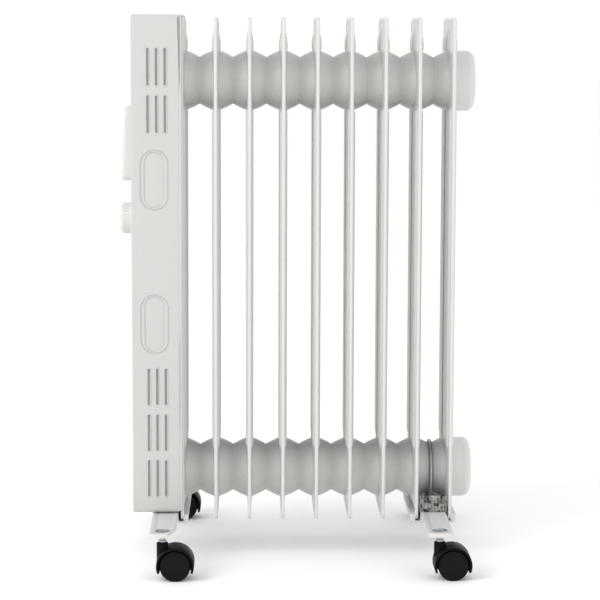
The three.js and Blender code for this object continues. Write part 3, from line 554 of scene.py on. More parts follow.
def make_materials(finish):
    """Every finish of the heater, each under a comment that says what it gives the eye."""
    # Powder-coated pressed steel: an even satin white with a faint orange peel of about 1.6 mm.
    base = [*finish.enamel, 1.0]
    tree, inputs = shader("enamel_powder_coated_steel", base, Roughness=0.34, IOR=1.5)
    tree.links.new(patches(tree, 60, base, shade_of(base, 0.965)), inputs["Base Color"])
    tree.links.new(patches(tree, 25, 0.30, 0.38), inputs["Roughness"])
    tree.links.new(grain(tree, 1.6, 0.012), inputs["Normal"])

    # The cover's powder coat: the fins' white enamel made a shade darker as painted shade, offsetting the
    # stronger light on the cover's front face, and finer in its grain.
    base = [*finish.cover, 1.0]
    tree, inputs = shader("cover_powder_coated_sheet", base, Roughness=0.36, IOR=1.5)
    tree.links.new(patches(tree, 90, base, shade_of(base, 0.975)), inputs["Base Color"])
    tree.links.new(grain(tree, 1.2, 0.010), inputs["Normal"])

    # Moulded ABS: warm white with a fine spark-eroded grain, softer in its gloss than the enamel.
    base = [*finish.plastic, 1.0]
    tree, inputs = shader("white_abs_moulded", base, Roughness=0.42, IOR=1.53)
    tree.links.new(patches(tree, 30, base, shade_of(base, 0.98)), inputs["Base Color"])
    tree.links.new(grain(tree, 0.7, 0.010), inputs["Normal"])

    # Glass-filled nylon, moulded: deep black with greyed highlights from its grain.
    base = [*finish.black, 1.0]
    tree, inputs = shader("black_nylon_moulded", base, Roughness=0.4, IOR=1.25, Specular_IOR_Level=0.2)
    tree.links.new(patches(tree, 12, base, linear("#131313")), inputs["Base Color"])
    tree.links.new(patches(tree, 8, 0.34, 0.5), inputs["Roughness"])
    tree.links.new(grain(tree, 0.8, 0.02), inputs["Normal"])

    # Moulded polypropylene wheel: a shade blacker and duller than the hood.
    base = linear("#0B0B0B")
    gloss = {"Roughness": 0.5, "IOR": 1.49, "Specular_IOR_Level": 0.12}
    tree, inputs = shader("black_polypropylene_wheel", base, **gloss)
    tree.links.new(patches(tree, 10, base, linear("#111110")), inputs["Base Color"])
    tree.links.new(grain(tree, 0.6, 0.015), inputs["Normal"])

    # Switch plastic, polished mould: glossy near-black, so the rockers catch a clear highlight.
    tree, inputs = shader("black_abs_polished", linear("#1B1B1C"), Roughness=0.22, IOR=1.53)
    tree.links.new(patches(tree, 15, 0.18, 0.28), inputs["Roughness"])

    # Zinc-plated steel: cool pale metal, uneven in its gloss from the plating bath.
    base = linear("#B9BCBE")
    tree, inputs = shader("zinc_plated_steel", base, Roughness=0.3, Metallic=1.0)
    tree.links.new(patches(tree, 6, base, linear("#9FA3A6")), inputs["Base Color"])
    tree.links.new(patches(tree, 3, 0.22, 0.42), inputs["Roughness"])

    # Hot-dip galvanised sheet: crystal spangles about 9 mm across.
    base = linear("#A6AAAC")
    tree, inputs = shader("galvanised_sheet", base, Roughness=0.45, Metallic=1.0)
    tree.links.new(crystals(tree, 9, base, linear("#C3C6C8")), inputs["Base Color"])

    # Phosphated steel of the clamp saddles: dark grey, mottled by crystals about 3 mm across.
    base = linear("#2E2D2C")
    tree, inputs = shader("steel_phosphated", base, Roughness=0.55, Metallic=0.2)
    tree.links.new(crystals(tree, 3, base, linear("#BDBBB7")), inputs["Base Color"])

    # Machined brass: warm yellow metal with fine turning marks.
    base = linear("#C2A25C")
    tree, inputs = shader("brass_machined", base, Roughness=0.3, Metallic=1.0)
    tree.links.new(patches(tree, 5, base, linear("#AD8E4C")), inputs["Base Color"])

    # Drawn stainless sheath of the heating element: straw-tinted by heat.
    base = linear("#9C9488")
    tree, inputs = shader("stainless_drawn_tube", base, Roughness=0.35, Metallic=1.0)
    tree.links.new(patches(tree, 30, base, linear("#857766")), inputs["Base Color"])

    # Moulded phenolic and ceramic parts of the wiring: matt cream.
    base = linear("#D9D2BF")
    tree, inputs = shader("phenolic_moulded", base, Roughness=0.6, IOR=1.6)
    tree.links.new(patches(tree, 8, base, linear("#C9C0AA")), inputs["Base Color"])

    # Polycarbonate lens, polished: glossy amber, with darker patches as painted shade for the unlit well
    # behind it.
    base = linear("#E0662A")
    tree, inputs = shader("amber_polycarbonate_lens", base, Roughness=0.08, IOR=1.58)
    tree.links.new(patches(tree, 4, base, linear("#C44A1C")), inputs["Base Color"])

    # Slot linings: a flat grey sheet behind the vents and the rear seam, painted shade that stands in for
    # the shaded inside of the box seen through them.
    base = linear("#A5A4A1")
    tree, inputs = shader("vent_lining_sheet", base, Roughness=0.6, IOR=1.5)
    tree.links.new(patches(tree, 20, base, linear("#989794")), inputs["Base Color"])


# CAD nodes that are shown as they are, under the finish of each.
CARRIED = {
    "enamel_powder_coated_steel": ["blanking_cap"],
    "zinc_plated_steel": [
        "oil_filler_plug",
        "element_socket",
        "thermostat_shaft",
        "thermal_cutout",
        "tilt_pendulum",
    ],
    "galvanised_sheet": ["chassis_plate"],
    "brass_machined": ["element_flange"],
    "stainless_drawn_tube": ["heating_element"],
    "phenolic_moulded": ["thermostat_body", "terminal_block", "tilt_switch_case"],
}


class HEATER_OT_finishes(bpy.types.Operator):
    """Makes the materials and node trees, and paints the CAD nodes that are shown as they are"""

    bl_idname = "heater.finishes"
    bl_label = "Finishes"

    def execute(self, context):
        make_materials(context.scene.heater_finish)
        for build in (row_tree, grid_tree, ring_tree):
            build()
        for material, nodes in CARRIED.items():
            for node in nodes:
                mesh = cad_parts[node].data
                mesh.materials.clear()
                mesh.materials.append(bpy.data.materials[material])
        return {"FINISHED"}


# ---------------------------------------------------------------- radiator


def smooth(t):
    """A share from 0 to 1 with an eased start and end."""
    t = max(0.0, min(1.0, t))
    return t * t * (3 - 2 * t)


def inside(u, v, width, height, corner):
    """How far a point lies inside a rounded rectangle centred on zero."""
    x, y = abs(u) - width / 2 + corner, abs(v) - height / 2 + corner
    return corner - math.hypot(max(x, 0), max(y, 0)) - min(max(x, y), 0)


# A fin's hem: the width of its face and of the step down to the web, the step's depth, the edge radius.
HEM_FACE, HEM_STEP, HEM_DEPTH, HEM_EDGE = 4.2, 1.4, 0.95, 1.1
# Beside a header the outer part of a channel flattens out, over these distances from the header's centre,
# by a share, and from a distance off the fin's middle over a width.
PAD = [28, 30, 32, 34, 36]
PAD_SHARE, PAD_START, PAD_WIDTH = 0.75, 30, 8


def fin_rows(p, width, height, pads):
    """Where a fin's mesh has its columns and rows, closer together wherever the sheet bends."""
    foot = p.channel_offset - p.channel_width / 2
    outer = foot + p.channel_width
    steps = [p.channel_flank * t / 5 for t in range(6)]
    hem = [0, 0.35, HEM_EDGE, 2.4, HEM_FACE, HEM_FACE + HEM_STEP]
    ys = [*(foot + t for t in steps), 13, 22, 34, *(outer - t for t in reversed(steps)), outer + 1.5]
    ys += [width / 2 - t for t in reversed(hem)]
    ys = [-y for y in reversed(ys)] + [0] + ys
    ends = [t - height / 2 for t in (*hem, *range(8, 27, 3), 30, 60, 110)]
    zs = ends + [0] + [-t for t in ends] + [c + side * t for c in pads for side in (-1, 1) for t in PAD]
    return ys, sorted({round(z, 3) for z in zs})


def fin_mesh(p):
    """One fin: two pressed sheets that part round two oil channels and meet again in a hem."""
    width, height = FIN_HIGH.y - FIN_LOW.y, FIN_HIGH.z - FIN_LOW.z
    middle = (FIN_LOW.z + FIN_HIGH.z) / 2
    pads = [z - middle for z in HEADERS]
    ys, zs = fin_rows(p, width, height, pads)

    def point(y, z):
        """Half the fin's thickness at a point, and where the point goes once the corner is rounded."""
        u, v = abs(y) - width / 2 + p.corner, abs(z) - height / 2 + p.corner
        if u > 0 and v > 0:
            share = max(u, v) / math.hypot(u, v)
            y = math.copysign(width / 2 - p.corner + u * share, y)
            z = math.copysign(height / 2 - p.corner + v * share, z)
        edge = inside(y, z, width, height, p.corner)
        half = p.hem / 2 - HEM_DEPTH * smooth((edge - HEM_FACE) / HEM_STEP)
        if edge <= HEM_EDGE:
            half = p.hem / 2 - HEM_EDGE + math.sqrt(max(0, HEM_EDGE**2 - (HEM_EDGE - edge) ** 2))
        side = smooth((p.channel_width / 2 - abs(abs(y) - p.channel_offset)) / p.channel_flank)
        end = smooth((height / 2 - p.channel_margin - abs(z)) / p.channel_taper)
        pad = smooth((PAD[-1] - min(abs(z - c) for c in pads)) / (PAD[-1] - PAD[0]))
        end *= 1 - PAD_SHARE * pad * smooth((abs(y) - PAD_START) / PAD_WIDTH)
        half += (p.channel_thickness / 2 - half) * end * side
        return half, y, z + middle

    bm = bmesh.new()
    sides = []
    for sign in (-1, 1):
        rows = []
        for z in zs:
            points = [point(y, z) for y in ys]
            rows.append([bm.verts.new((FIRST_FIN + sign * half, fy, fz)) for half, fy, fz in points])
        sides.append(rows)
        for a, b in zip(rows, rows[1:]):
            for i in range(len(a) - 1):
                bm.faces.new((a[i], a[i + 1], b[i + 1], b[i]))
    rims = []
    for rows in sides:
        rims.append(rows[0] + [r[-1] for r in rows[1:-1]] + rows[-1][::-1] + [r[0] for r in rows[-2:0:-1]])
    for i in range(len(rims[0])):
        j = (i + 1) % len(rims[0])
        bm.faces.new((rims[0][i], rims[0][j], rims[1][j], rims[1][i]))
    return bm


def header_profile(p):
    """Half a header section: from the fin's face, over a slightly rounded cone, down to the seam."""
    fin_face, bead = 1.6, 1.2
    foot = fin_face + bead
    points = [(p.header_radius + bead, fin_face), (p.header_radius + 0.3, foot)]
    for i in range(1, 9):
        t = i / 8
        fall = (p.header_radius - p.seam_radius) * (0.72 * t + 0.28 * t * t)
        points.append((p.header_radius - fall, foot + t * (FIN_PITCH / 2 - foot)))
    return points


class HEATER_OT_fins(bpy.types.Operator):
    """Builds the nine fins and the header sections between them"""

    bl_idname = "heater.fins"
    bl_label = "Fins and headers"

    def execute(self, context):
        p = Millimetres(context.scene.heater_fins)
        enamel = "enamel_powder_coated_steel"
        fins = draft("fins", fin_mesh(p), 50)
        repeated(fins, "Row", enamel, Count=FIN_COUNT, Step=(FIN_PITCH / 1000, 0, 0))
        fit(fins, enamel, "radiator", "white_enamel", *[f"fin_{i + 1}" for i in range(FIN_COUNT)])

        half = header_profile(p)
        whole = half + [(r, FIN_PITCH - w) for r, w in reversed(half[:-1])]
        bm = bmesh.new()
        for z in HEADERS:
            turned(bm, whole, "x", (FIRST_FIN, 0, z), 72)
        sections = draft("header_sections", bm, 24)
        repeated(sections, "Row", enamel, Count=FIN_COUNT - 1, Step=(FIN_PITCH / 1000, 0, 0))
        bm = bmesh.new()
        for z in HEADERS:
            turned(bm, [(r, -w) for r, w in half], "x", (FIRST_FIN, 0, z), 72)
        join(sections, draft("front_stubs", bm, 24))
        fit(sections, enamel, "radiator", "white_enamel")

        # The drum-shaped caps, each with a bead at the last fin and a shallow pan in its end.
        last = FIRST_FIN + FIN_PITCH * (FIN_COUNT - 1)
        reach = box("end_cap_top")[1].x - last
        corner = p.cap_corner
        profile = [(p.cap_radius + 2.2, 1.5), (p.cap_radius + 0.7, 2.6), (p.cap_radius, 4.4)]
        profile += arc(p.cap_radius - corner, reach - corner, corner, 0, 90, 10)
        profile += [(16, reach), (14.6, reach - 0.5), (12, reach - 0.7)]
        for name, z in zip(("end_cap_bottom", "end_cap_top"), HEADERS):
            drum = lathed("drum_" + name, profile, "x", (last, 0, z), 72)
            fit(drum, enamel, "radiator", "white_enamel", name)
        return {"FINISHED"}


# ---------------------------------------------------------------- control box


def stadium_ring(width, height, y, depth=0.0):
    """Points round a slot-shaped outline in the plane of the cover's side."""
    return [(u, y, v) for u, v in inset(outline(width, height, width / 2 - 0.01, 8), depth)]


def cover_shell(p):
    """The deep tray of the cover, with a groove before its rear margin, deepest at its top and low down."""
    width, height = COVER_HIGH.y - COVER_LOW.y, COVER_HIGH.z - COVER_LOW.z
    middle = (COVER_LOW.z + COVER_HIGH.z) / 2
    rear, front = COVER_HIGH.x, COVER_LOW.x
    stations = [-230 + 20 * i for i in range(24)]
    points = outline(width, height, p.corner, 6, stations)

    def groove(z):
        """The groove's depth at a height."""
        above, low_end, high_end, ease = 500, 140, 252, 12
        top = 0.8 * smooth((z + middle - above) / 110)
        seam = 0.6 * (smooth((z + middle - low_end) / ease) - smooth((z + middle - high_end) / ease))
        return 0.25 + max(top, seam)

    def ring(x, depth):
        """The tray's section at one place, drawn in by a depth."""
        return [(x, u, middle + v) for u, v in inset(points, depth)]

    def sunk(x):
        """The tray's section at one place, drawn in to the groove's floor."""
        deep = [(u, v, nu, nv, groove(v)) for u, v, nu, nv in points]
        return [(x, u - nu * d, middle + v - nv * d) for u, v, nu, nv, d in deep]

    edge = p.front_edge
    rings = [ring(front + p.wall, p.wall + 0.6), ring(front + p.wall + 0.6, p.wall), ring(rear, p.wall)]
    rings += [ring(rear, 0.5), ring(rear - 0.5, 0), ring(rear - 1.6, 0), sunk(rear - 2.0)]
    rings += [sunk(rear - 3.4), ring(rear - 3.8, 0)]
    rings += [ring(front + edge - w, edge - r) for r, w in arc(0, 0, edge, 0, 90, 5)]
    return lofted("cover_shell", rings)


# The steps of a pressed recess: its depth, and how much narrower and shorter it is on each side.
RECESS = [(-1, 0, 0), (0, 0, 0), (0.9, 0.5, 0.5), (0.95, 1.2, 1.2), (0.2, 2.0, 1.7), (0.15, 4.4, 2.2)]
RECESS += [(0.7, 5.0, 2.7), (1.35, 5.6, 3.3), (1.0, 6.8, 4.4), (0.8, 8.5, 6.5)]
# From the cover's top down to the middle of each recess, and from the first fin to their middle line.
RECESS_DROPS, RECESS_LINE = (183.5, 345.5), 30
# From the cover's top and bottom to the nearest slots, and from the first fin to the last slots.
SLOT_DROP, SLOT_RISE, SLOT_LINE = 37, 19.3, 18


def openings(context):
    """What is taken out of the cover besides its slots: recesses, seams, notches and switch wells."""
    p = Millimetres(context.scene.heater_box)
    top = COVER_HIGH.z
    x = FIRST_FIN - RECESS_LINE
    bm = bmesh.new()
    for side in (-1, 1):
        wall = side * COVER_HIGH.y
        for drop in RECESS_DROPS:
            rings = []
            for depth, narrower, shorter in RECESS:
                size = p.recess_width - 2 * narrower, p.recess_length - 2 * shorter
                shape = stadium_ring(*size, wall - side * depth)
                rings.append([(x + u, y, top - drop + v) for u, y, v in shape])
            loft(bm, rings)
        # The open seam at the rear corner, 3 mm wide near the top and closing 76 mm lower.
        seam = [(COVER_HIGH.x - 5, top - 3), (COVER_HIGH.x - 2, top - 3), (COVER_HIGH.x - 2, top - 79)]
        seam += [(COVER_HIGH.x - 2.3, top - 79)]
        loft(bm, [[(u, wall - side * depth, v) for u, v in seam] for depth in (-1, 3)])
    # Notches in the bottom, for the first U-bolt and for the first fin with its foot bracket.
    low = COVER_LOW.z
    a, b = box("u_bolt_front")
    block(bm, (a.x - 0.6, a.y - 0.6, low - 4), (FIRST_FIN + 30, b.y + 0.6, low + 4))
    block(bm, (FIRST_FIN - 5, COVER_LOW.y + 2, low - 5), (FIRST_FIN + 30, COVER_HIGH.y - 2, low + 5))
    for side in ("right", "left"):
        a, b = box("switch_body_" + side)
        block(bm, (COVER_FACE - 4, a.y - 0.3, a.z - 0.3), (COVER_FACE + 5, b.y + 0.3, b.z + 0.3))
    return draft("cover_openings", bm)


def slot_grids(p):
    """Where each grid of slots starts and its rows: two at the top and three at the bottom of a side."""
    top = COVER_HIGH.z - SLOT_DROP - p.slot_length / 2
    low = COVER_LOW.z + SLOT_RISE + p.slot_length / 2
    return [(top - p.row_pitch, 2), (low, 3)]


class HEATER_OT_cover(bpy.types.Operator):
    """Builds the front cover with its vent slots, lips and pressed recesses"""

    bl_idname = "heater.cover"
    bl_label = "Front cover"

    def execute(self, context):
        p = Millimetres(context.scene.heater_box)
        paint = "cover_powder_coated_sheet"
        cover = cover_shell(p)
        cutters, lips = [openings(context)], []
        last = FIRST_FIN - SLOT_LINE
        first = last - (p.slot_columns - 1) * p.column_pitch
        section = [(0.25, 0.9), (0.1, 0.0), (-0.15, -p.lip * 0.8), (-0.55, -p.lip)]
        section += [(-1.0, -p.lip * 0.7), (-1.3, -0.05), (-1.1, 0.9)]
        for side in (-1, 1):
            wall = side * COVER_HIGH.y
            for z, rows in slot_grids(p):
                values = {
                    "Columns": p.slot_columns,
                    "Column_pitch": p.column_pitch / 1000,
                    "Rows": rows,
                    "Row_pitch": p.row_pitch / 1000,
                }
                ends = [stadium_ring(p.slot_width, p.slot_length, wall + side * y) for y in (-3.5, 1.5)]
                slots = repeated(lofted("slots", ends), "Grid", paint, **values)
                cutters.append(move(slots, first, 0, z))
                rings = [stadium_ring(p.slot_width, p.slot_length, wall - side * d, w) for w, d in section]
                lip = repeated(lofted("lips", rings, 60, closed=True), "Grid", paint, **values)
                lips.append(move(lip, first, 0, z))
        sharpen(cut(cover, *cutters), 30)
        join(cover, *lips)
        cover.name = "cover"
        fit(cover, paint, "radiator", "white_enamel", "front_cover")

        # Thin grey sheets inside the wall, behind the slots and the rear seam: painted shade for the shaded
        # inside of the box seen through them.
        bm = bmesh.new()
        spare, sheet = 5, 0.5
        ends = COVER_HIGH.z - 90, COVER_HIGH.z - 2.2
        for side in (-1, 1):
            y = side * (COVER_HIGH.y - 1.4 - sheet / 2)
            near, far = y - sheet / 2, y + sheet / 2
            for z, rows in slot_grids(p):
                reach = p.slot_length / 2 + spare
                high = z + (rows - 1) * p.row_pitch + reach
                block(bm, (first - spare, near, z - reach), (last + spare, far, high))
            block(bm, (COVER_HIGH.x - 6, near, ends[0]), (COVER_HIGH.x - 1, far, ends[1]))
        fit(draft("vent_linings", bm), "vent_lining_sheet", "radiator", "white_enamel")
        return {"FINISHED"}


class HEATER_OT_pod(bpy.types.Operator):
    """Builds the switch housing on the cover's front, the switch frames, the rockers and the pilot lens"""

    bl_idname = "heater.pod"
    bl_label = "Switch housing"

    def execute(self, context):
        p = Millimetres(context.scene.heater_controls)
        low, high = box("control_pod")
        middle = (low + high) / 2
        points = outline(high.y - low.y, high.z - low.z, p.pod_corner, 8)
        bottom_proud, top_proud = COVER_FACE - low.x, 8.8
        lean = (top_proud - bottom_proud) / (high.z - low.z)

        def face(z):
            """Where the leaning front face stands at a height."""
            return COVER_FACE - bottom_proud - lean * (z - low.z)

        edge = p.pod_edge
        rings = [[(COVER_FACE + 0.1, u, middle.z + v) for u, v in inset(points, 0)]]
        for r, w in arc(0, 0, edge, 0, 90, 6):
            shape = [(u, middle.z + v) for u, v in inset(points, edge - r)]
            rings.append([(face(z) + edge - w, u, z) for u, z in shape])
        pod = lofted("pod", rings)
        lens = centre("pilot_lens")
        front, back = COVER_FACE - 30, COVER_FACE + 5
        bm = bmesh.new()
        turned(bm, [(4.3, front), (4.3, back)], "x", (0, lens.y, lens.z), 40)
        for side in ("right", "left"):
            a, b = box("switch_body_" + side)
            block(bm, (front, a.y + 0.3, a.z + 0.3), (back, b.y - 0.3, b.z - 0.3))
        sharpen(cut(pod, draft("pod_openings", bm)), 30)
        fit(pod, "white_abs_moulded", "radiator", "white_abs", "control_pod")

        for side in ("right", "left"):
            a, b = box("switch_body_" + side)
            at = (a + b) / 2
            outer = outline(b.y - a.y + 1.4, b.z - a.z + 1.4, 2.2, 5)
            well = outline(16, 26, 0.8, 5)

            def band(shape, depth, proud):
                """A shape drawn in by a depth, standing proud of the leaning face."""
                spots = [(at.y + u, at.z + v) for u, v in inset(shape, depth)]
                return [(face(z) - proud, y, z) for y, z in spots]

            def flat(shape, depth, x):
                """A shape drawn in by a depth, upright at one place."""
                return [(x, at.y + u, at.z + v) for u, v in inset(shape, depth)]

            low_step = p.bezel * 0.7
            rings = [flat(well, 0, b.x - 2), band(well, 0, -0.6), band(well, -0.4, low_step)]
            rings += [band(well, -0.9, p.bezel), band(outer, 0.9, p.bezel), band(outer, 0.3, low_step)]
            rings += [band(outer, 0, -0.3), band(outer, 0.9, -0.5), flat(outer, 0.9, b.x)]
            name = "switch_body_" + side
            frame_ring = lofted("frame_" + name, rings)
            fit(frame_ring, "black_abs_polished", "radiator", "black_nylon", name)
            name = "rocker_" + side
            key = soften(draft("key_" + name, copied(name)), 0.6, 3, 15)
            fit(key, "black_abs_polished", name, "black_nylon", name)

        tip = box("pilot_lens")[0].x
        dome = [(4.0, COVER_FACE + 1), (4.0, tip + 1.2), (3.7, tip + 0.7), (3.0, tip + 0.3)]
        dome += [(1.6, tip + 0.05), (0.3, tip)]
        shape = lathed("lens", dome, "x", (0, lens.y, lens.z), 40, 60)
        fit(shape, "amber_polycarbonate_lens", "radiator", "amber_lens", "pilot_lens")
        return {"FINISHED"}


class HEATER_OT_knob(bpy.types.Operator):
    """Builds the thermostat knob with its grip ribs and pointer, and the cable gland"""

    bl_idname = "heater.knob"
    bl_label = "Knob and gland"

    def execute(self, context):
        p = Millimetres(context.scene.heater_controls)
        low, high = box("thermostat_knob")
        at = (low + high) / 2
        radius = (high.z - low.z) / 2 - 0.6
        front, back = low.x, COVER_FACE - 0.6
        # A skirt at the back, a plain rim, a rounded shoulder and a shallow dish in the front face.
        shoulder = 4.2
        profile = [(radius - 3, back), (radius + 0.5, back), (radius + 0.6, back - 0.5)]
        profile += [(radius + 0.5, back - 1.8), (radius, back - 2.4), (radius - 0.4, front + 4.6)]
        turn = arc(0, 0, shoulder, 0, 90, 8)
        profile += [(radius - 0.4 - shoulder + r, front + shoulder - w) for r, w in turn]
        profile += [(radius - 5.4, front + 0.1), (radius - 6.2, front + 0.6), (radius - 8, front + 0.7)]
        profile += [(1, front + 0.7)]
        knob = lathed("knob", profile, "x", (0, at.y, at.z), 90, 40)
        shape = outline(back - front - 7.4, 1.4, 0.65, 4)
        middle = (front + back) / 2 + 0.6
        rings = []
        for height, depth in ((0, 0), (0.9, 0), (1.15, 0.3)):
            rings.append([(middle + u, v, radius - 1.2 + height) for u, v in inset(shape, depth)])
        ribs = repeated(lofted("ribs", rings, 40), "Ring", "white_abs_moulded", Count=p.knob_ribs)
        join(knob, move(ribs, 0, at.y, at.z))
        shape = outline(2.2, 11, 1.0, 6)
        rings = []
        for height, depth in ((2, 0), (0.15, 0), (0, 0.3)):
            rings.append([(front + height, u, 9.2 + v) for u, v in inset(shape, depth)])
        mark = move(lofted("mark", rings, 40), 0, at.y, at.z)
        fit(knob, "white_abs_moulded", "thermostat_dial", "white_abs", "thermostat_knob")
        mark.name = "knob_pointer"
        fit(mark, "black_abs_polished", "thermostat_dial", "black_nylon")

        low, high = box("cable_gland")
        at = (low + high) / 2
        outer, wall = high.y, COVER_HIGH.y
        r = (high.x - low.x) / 2
        profile = [(3.8, low.y), (6.6, low.y), (6.6, wall - 0.1), (r, wall + 0.1), (r, wall + 1.2)]
        profile += [(r - 0.6, wall + 2)]
        for i in range(4):
            w = wall + 2.2 + i * 1.3
            crest = r - 0.7 - 0.3 * i
            profile += [(r - 1.1 - 0.25 * i, w), (crest, w + 0.4), (crest, w + 0.9)]
        profile += [(r - 2.2, outer - 0.5), (r - 2.8, outer), (4.4, outer), (3.8, outer - 0.6)]
        gland = lathed("gland", profile, "y", (at.x, 0, at.z), 40, closed=True)
        fit(gland, "black_nylon_moulded", "radiator", "black_nylon", "cable_gland")
        return {"FINISHED"}


# ---------------------------------------------------------------- feet


# A foot bracket's width, the stations along its ends, and how far below its top a caster stem reaches.
BRACKET_WIDTH, BRACKET_STATIONS, STEM_PROUD = 29, (130, 138, 145, 150, 155), 3.4


def bracket_bar(p, node, x, top, end):
    """The pressed bar of a foot bracket, with its rolled rim and its holes for the bolts and casters."""
    stations = [side * v for v in BRACKET_STATIONS for side in (-1, 1)]
    points = outline(BRACKET_WIDTH, 2 * box(node)[1].y, 8.5, 8, stations)
    if end == "front":
        # The inner corners of the front bracket are cut back along its last 36 mm.
        cut_back = [8 * smooth((abs(v) - 126) / 36) for u, v, nu, nv in points]
        half = BRACKET_WIDTH / 2
        points = [(min(u, half - c), v, nu, nv) for (u, v, nu, nv), c in zip(points, cut_back)]

    def ring(z, depth):
        """The bar's outline at a height, drawn in by a depth."""
        return [(x + u, v, z) for u, v in inset(points, depth)]

    bend = 1.5
    rings = [ring(top - p.sheet, p.sheet + 0.4), ring(top - p.rim, p.sheet), ring(top - p.rim - 0.2, 1.0)]
    rings += [ring(top - p.rim, 0), ring(top - bend, 0)]
    rings += [ring(top - bend + w, bend - r) for r, w in arc(0, 0, bend, 15, 90, 4)]
    rings += [ring(top, 3.2), ring(top - 0.35, 4.0)]
    bar = lofted(node + "_bar", rings, 40)
    reach = box("u_bolt_" + end)[1].y - p.bolt_rod
    caster = centre("caster_stem_" + end + "_left").y
    bm = bmesh.new()
    for side in (-1, 1):
        turned(bm, [(3.1, top - 9), (3.1, top + 4)], "z", (x, side * reach, 0), 32)
        eased = [(7.7, top + 1), (7.4, top - 0.5), (7.4, top - 9)]
        turned(bm, eased, "z", (x, side * caster, 0), 40)
    return sharpen(cut(bar, draft("holes", bm)), 40)


def bracket_hook(x, top, side):
    """A lip that comes up from a foot bracket and takes hold of the fin on one side."""
    low = FIN_LOW.z - 0.6
    inner = x + side * BRACKET_WIDTH / 2
    tab = x + side * (FIN_PITCH / 2 + HEM_DEPTH)
    section = [
        (inner - side * 2, low - 2),
        (tab + side * 5, low - 2),
        (tab + side * 6.2, low + 8),
        (tab, low + 8),
        (tab, low),
        (inner, low),
        (inner, top - 1),
        (inner - side * 2, top - 1),
    ]
    rings = [[(u, v, z) for u, z in section] for v in (-60, 60)]
    return soften(lofted("hook", rings), 0.7, 2)


def saddle(x, low, high, side):
    """The rings of a corrugated sheet between a foot bracket and the lower header."""
    fold, depth, sheet = 1.9, 2, 0.8
    near = [(x + fold * (i - 8), 60.8 - depth * (i % 2)) for i in range(17)]
    section = near + [(u, v - sheet) for u, v in reversed(near)]
    return [[(u, side * v, z) for u, v in section] for z in (low, high)]


class HEATER_OT_brackets(bpy.types.Operator):
    """Builds the two pressed foot brackets with their fin hooks"""

    bl_idname = "heater.brackets"
    bl_label = "Foot brackets"

    def execute(self, context):
        p = Millimetres(context.scene.heater_feet)
        for end in ("front", "rear"):
            node = "bracket_" + end
            top = box("caster_stem_" + end + "_right")[1].z - STEM_PROUD
            x = centre("u_bolt_" + end).x
            bar = bracket_bar(p, node, x, top, end)
            # The front bracket hooks only the second fin, because the first one stands in the cover.
            hooks = [bracket_hook(x, top, side) for side in ([1] if end == "front" else [-1, 1])]
            join(bar, *hooks)
            fit(bar, "enamel_powder_coated_steel", "radiator", "white_enamel", node)
            for side, place_name in ((-1, "right"), (1, "left")):
                rings = saddle(x, top + 0.2, HEADERS[0] - 22, side)
                sheet = lofted(f"saddle_{end}_{place_name}", rings, 20)
                fit(sheet, "steel_phosphated", "radiator", "zinc_steel")
        return {"FINISHED"}


def wing_nut(name):
    """A hub that tapers downward, a washer over it and two drooping wings."""
    low, high = box(name)
    at, top = (low + high) / 2, high.z
    hub = [(2.6, top), (5.4, top), (5.7, top - 0.4), (5.5, top - 3.4), (4.6, top - 5), (2.6, top - 5)]
    washer = [(2.7, top + 0.25), (6.6, top + 0.25), (6.6, top - 0.6), (2.7, top - 0.6)]
    bm = bmesh.new()
    for profile in (hub, washer):
        turned(bm, profile, "z", (at.x, at.y, 0), 32, closed=True)
    nut = draft("nut_" + name, bm, 30)
    wings = []
    shape = [(4.2, -0.8), (7.2, -0.9), (10.6, -3.6), (11, -5.8), (9.4, -7.3), (7.0, -6.2), (4.4, -4.2)]
    for turn in (-1, 1):
        rings = [[(at.x + turn * u, at.y + v, top + w) for u, w in shape] for v in (-1, 1)]
        wings.append(soften(lofted("wing", rings), 0.6, 3))
    return join(nut, *wings)


class HEATER_OT_bolts(bpy.types.Operator):
    """Builds the U-bolts over the lower header with their threads, washers and wing nuts"""

    bl_idname = "heater.bolts"
    bl_label = "U-bolts and wing nuts"

    def execute(self, context):
        p = Millimetres(context.scene.heater_feet)
        rod = p.bolt_rod
        for end in ("front", "rear"):
            node = "u_bolt_" + end
            low, high = box(node)
            x = centre(node).x
            reach = high.y - rod
            z = HEADERS[0]
            path = [(x, reach, low.z), (x, reach, low.z + 0.5)]
            path += [(x, u, z + v) for u, v in arc(0, 0, reach, 0, 180, 40)]
            path += [(x, -reach, low.z + 0.5), (x, -reach, low.z)]
            bm = bmesh.new()
            tube(bm, path, rod - 0.25, 20)
            bolt = draft(node + "_bar", bm)
            ridge = [(rod - 0.3, -0.4), (rod, -0.12), (rod, 0.12), (rod - 0.3, 0.4)]
            for side in (-1, 1):
                foot = (x, side * reach, low.z + 0.6)
                thread = lathed("thread", ridge, "z", foot, 20, 60)
                repeated(thread, "Row", "zinc_plated_steel", Count=22, Step=(0, 0, 0.001))
                join(bolt, thread)
            fit(bolt, "zinc_plated_steel", "radiator", "zinc_steel", node)
            for side in ("right", "left"):
                name = "wing_nut_" + end + "_" + side
                fit(wing_nut(name), "zinc_plated_steel", "radiator", "zinc_steel", name)
        return {"FINISHED"}


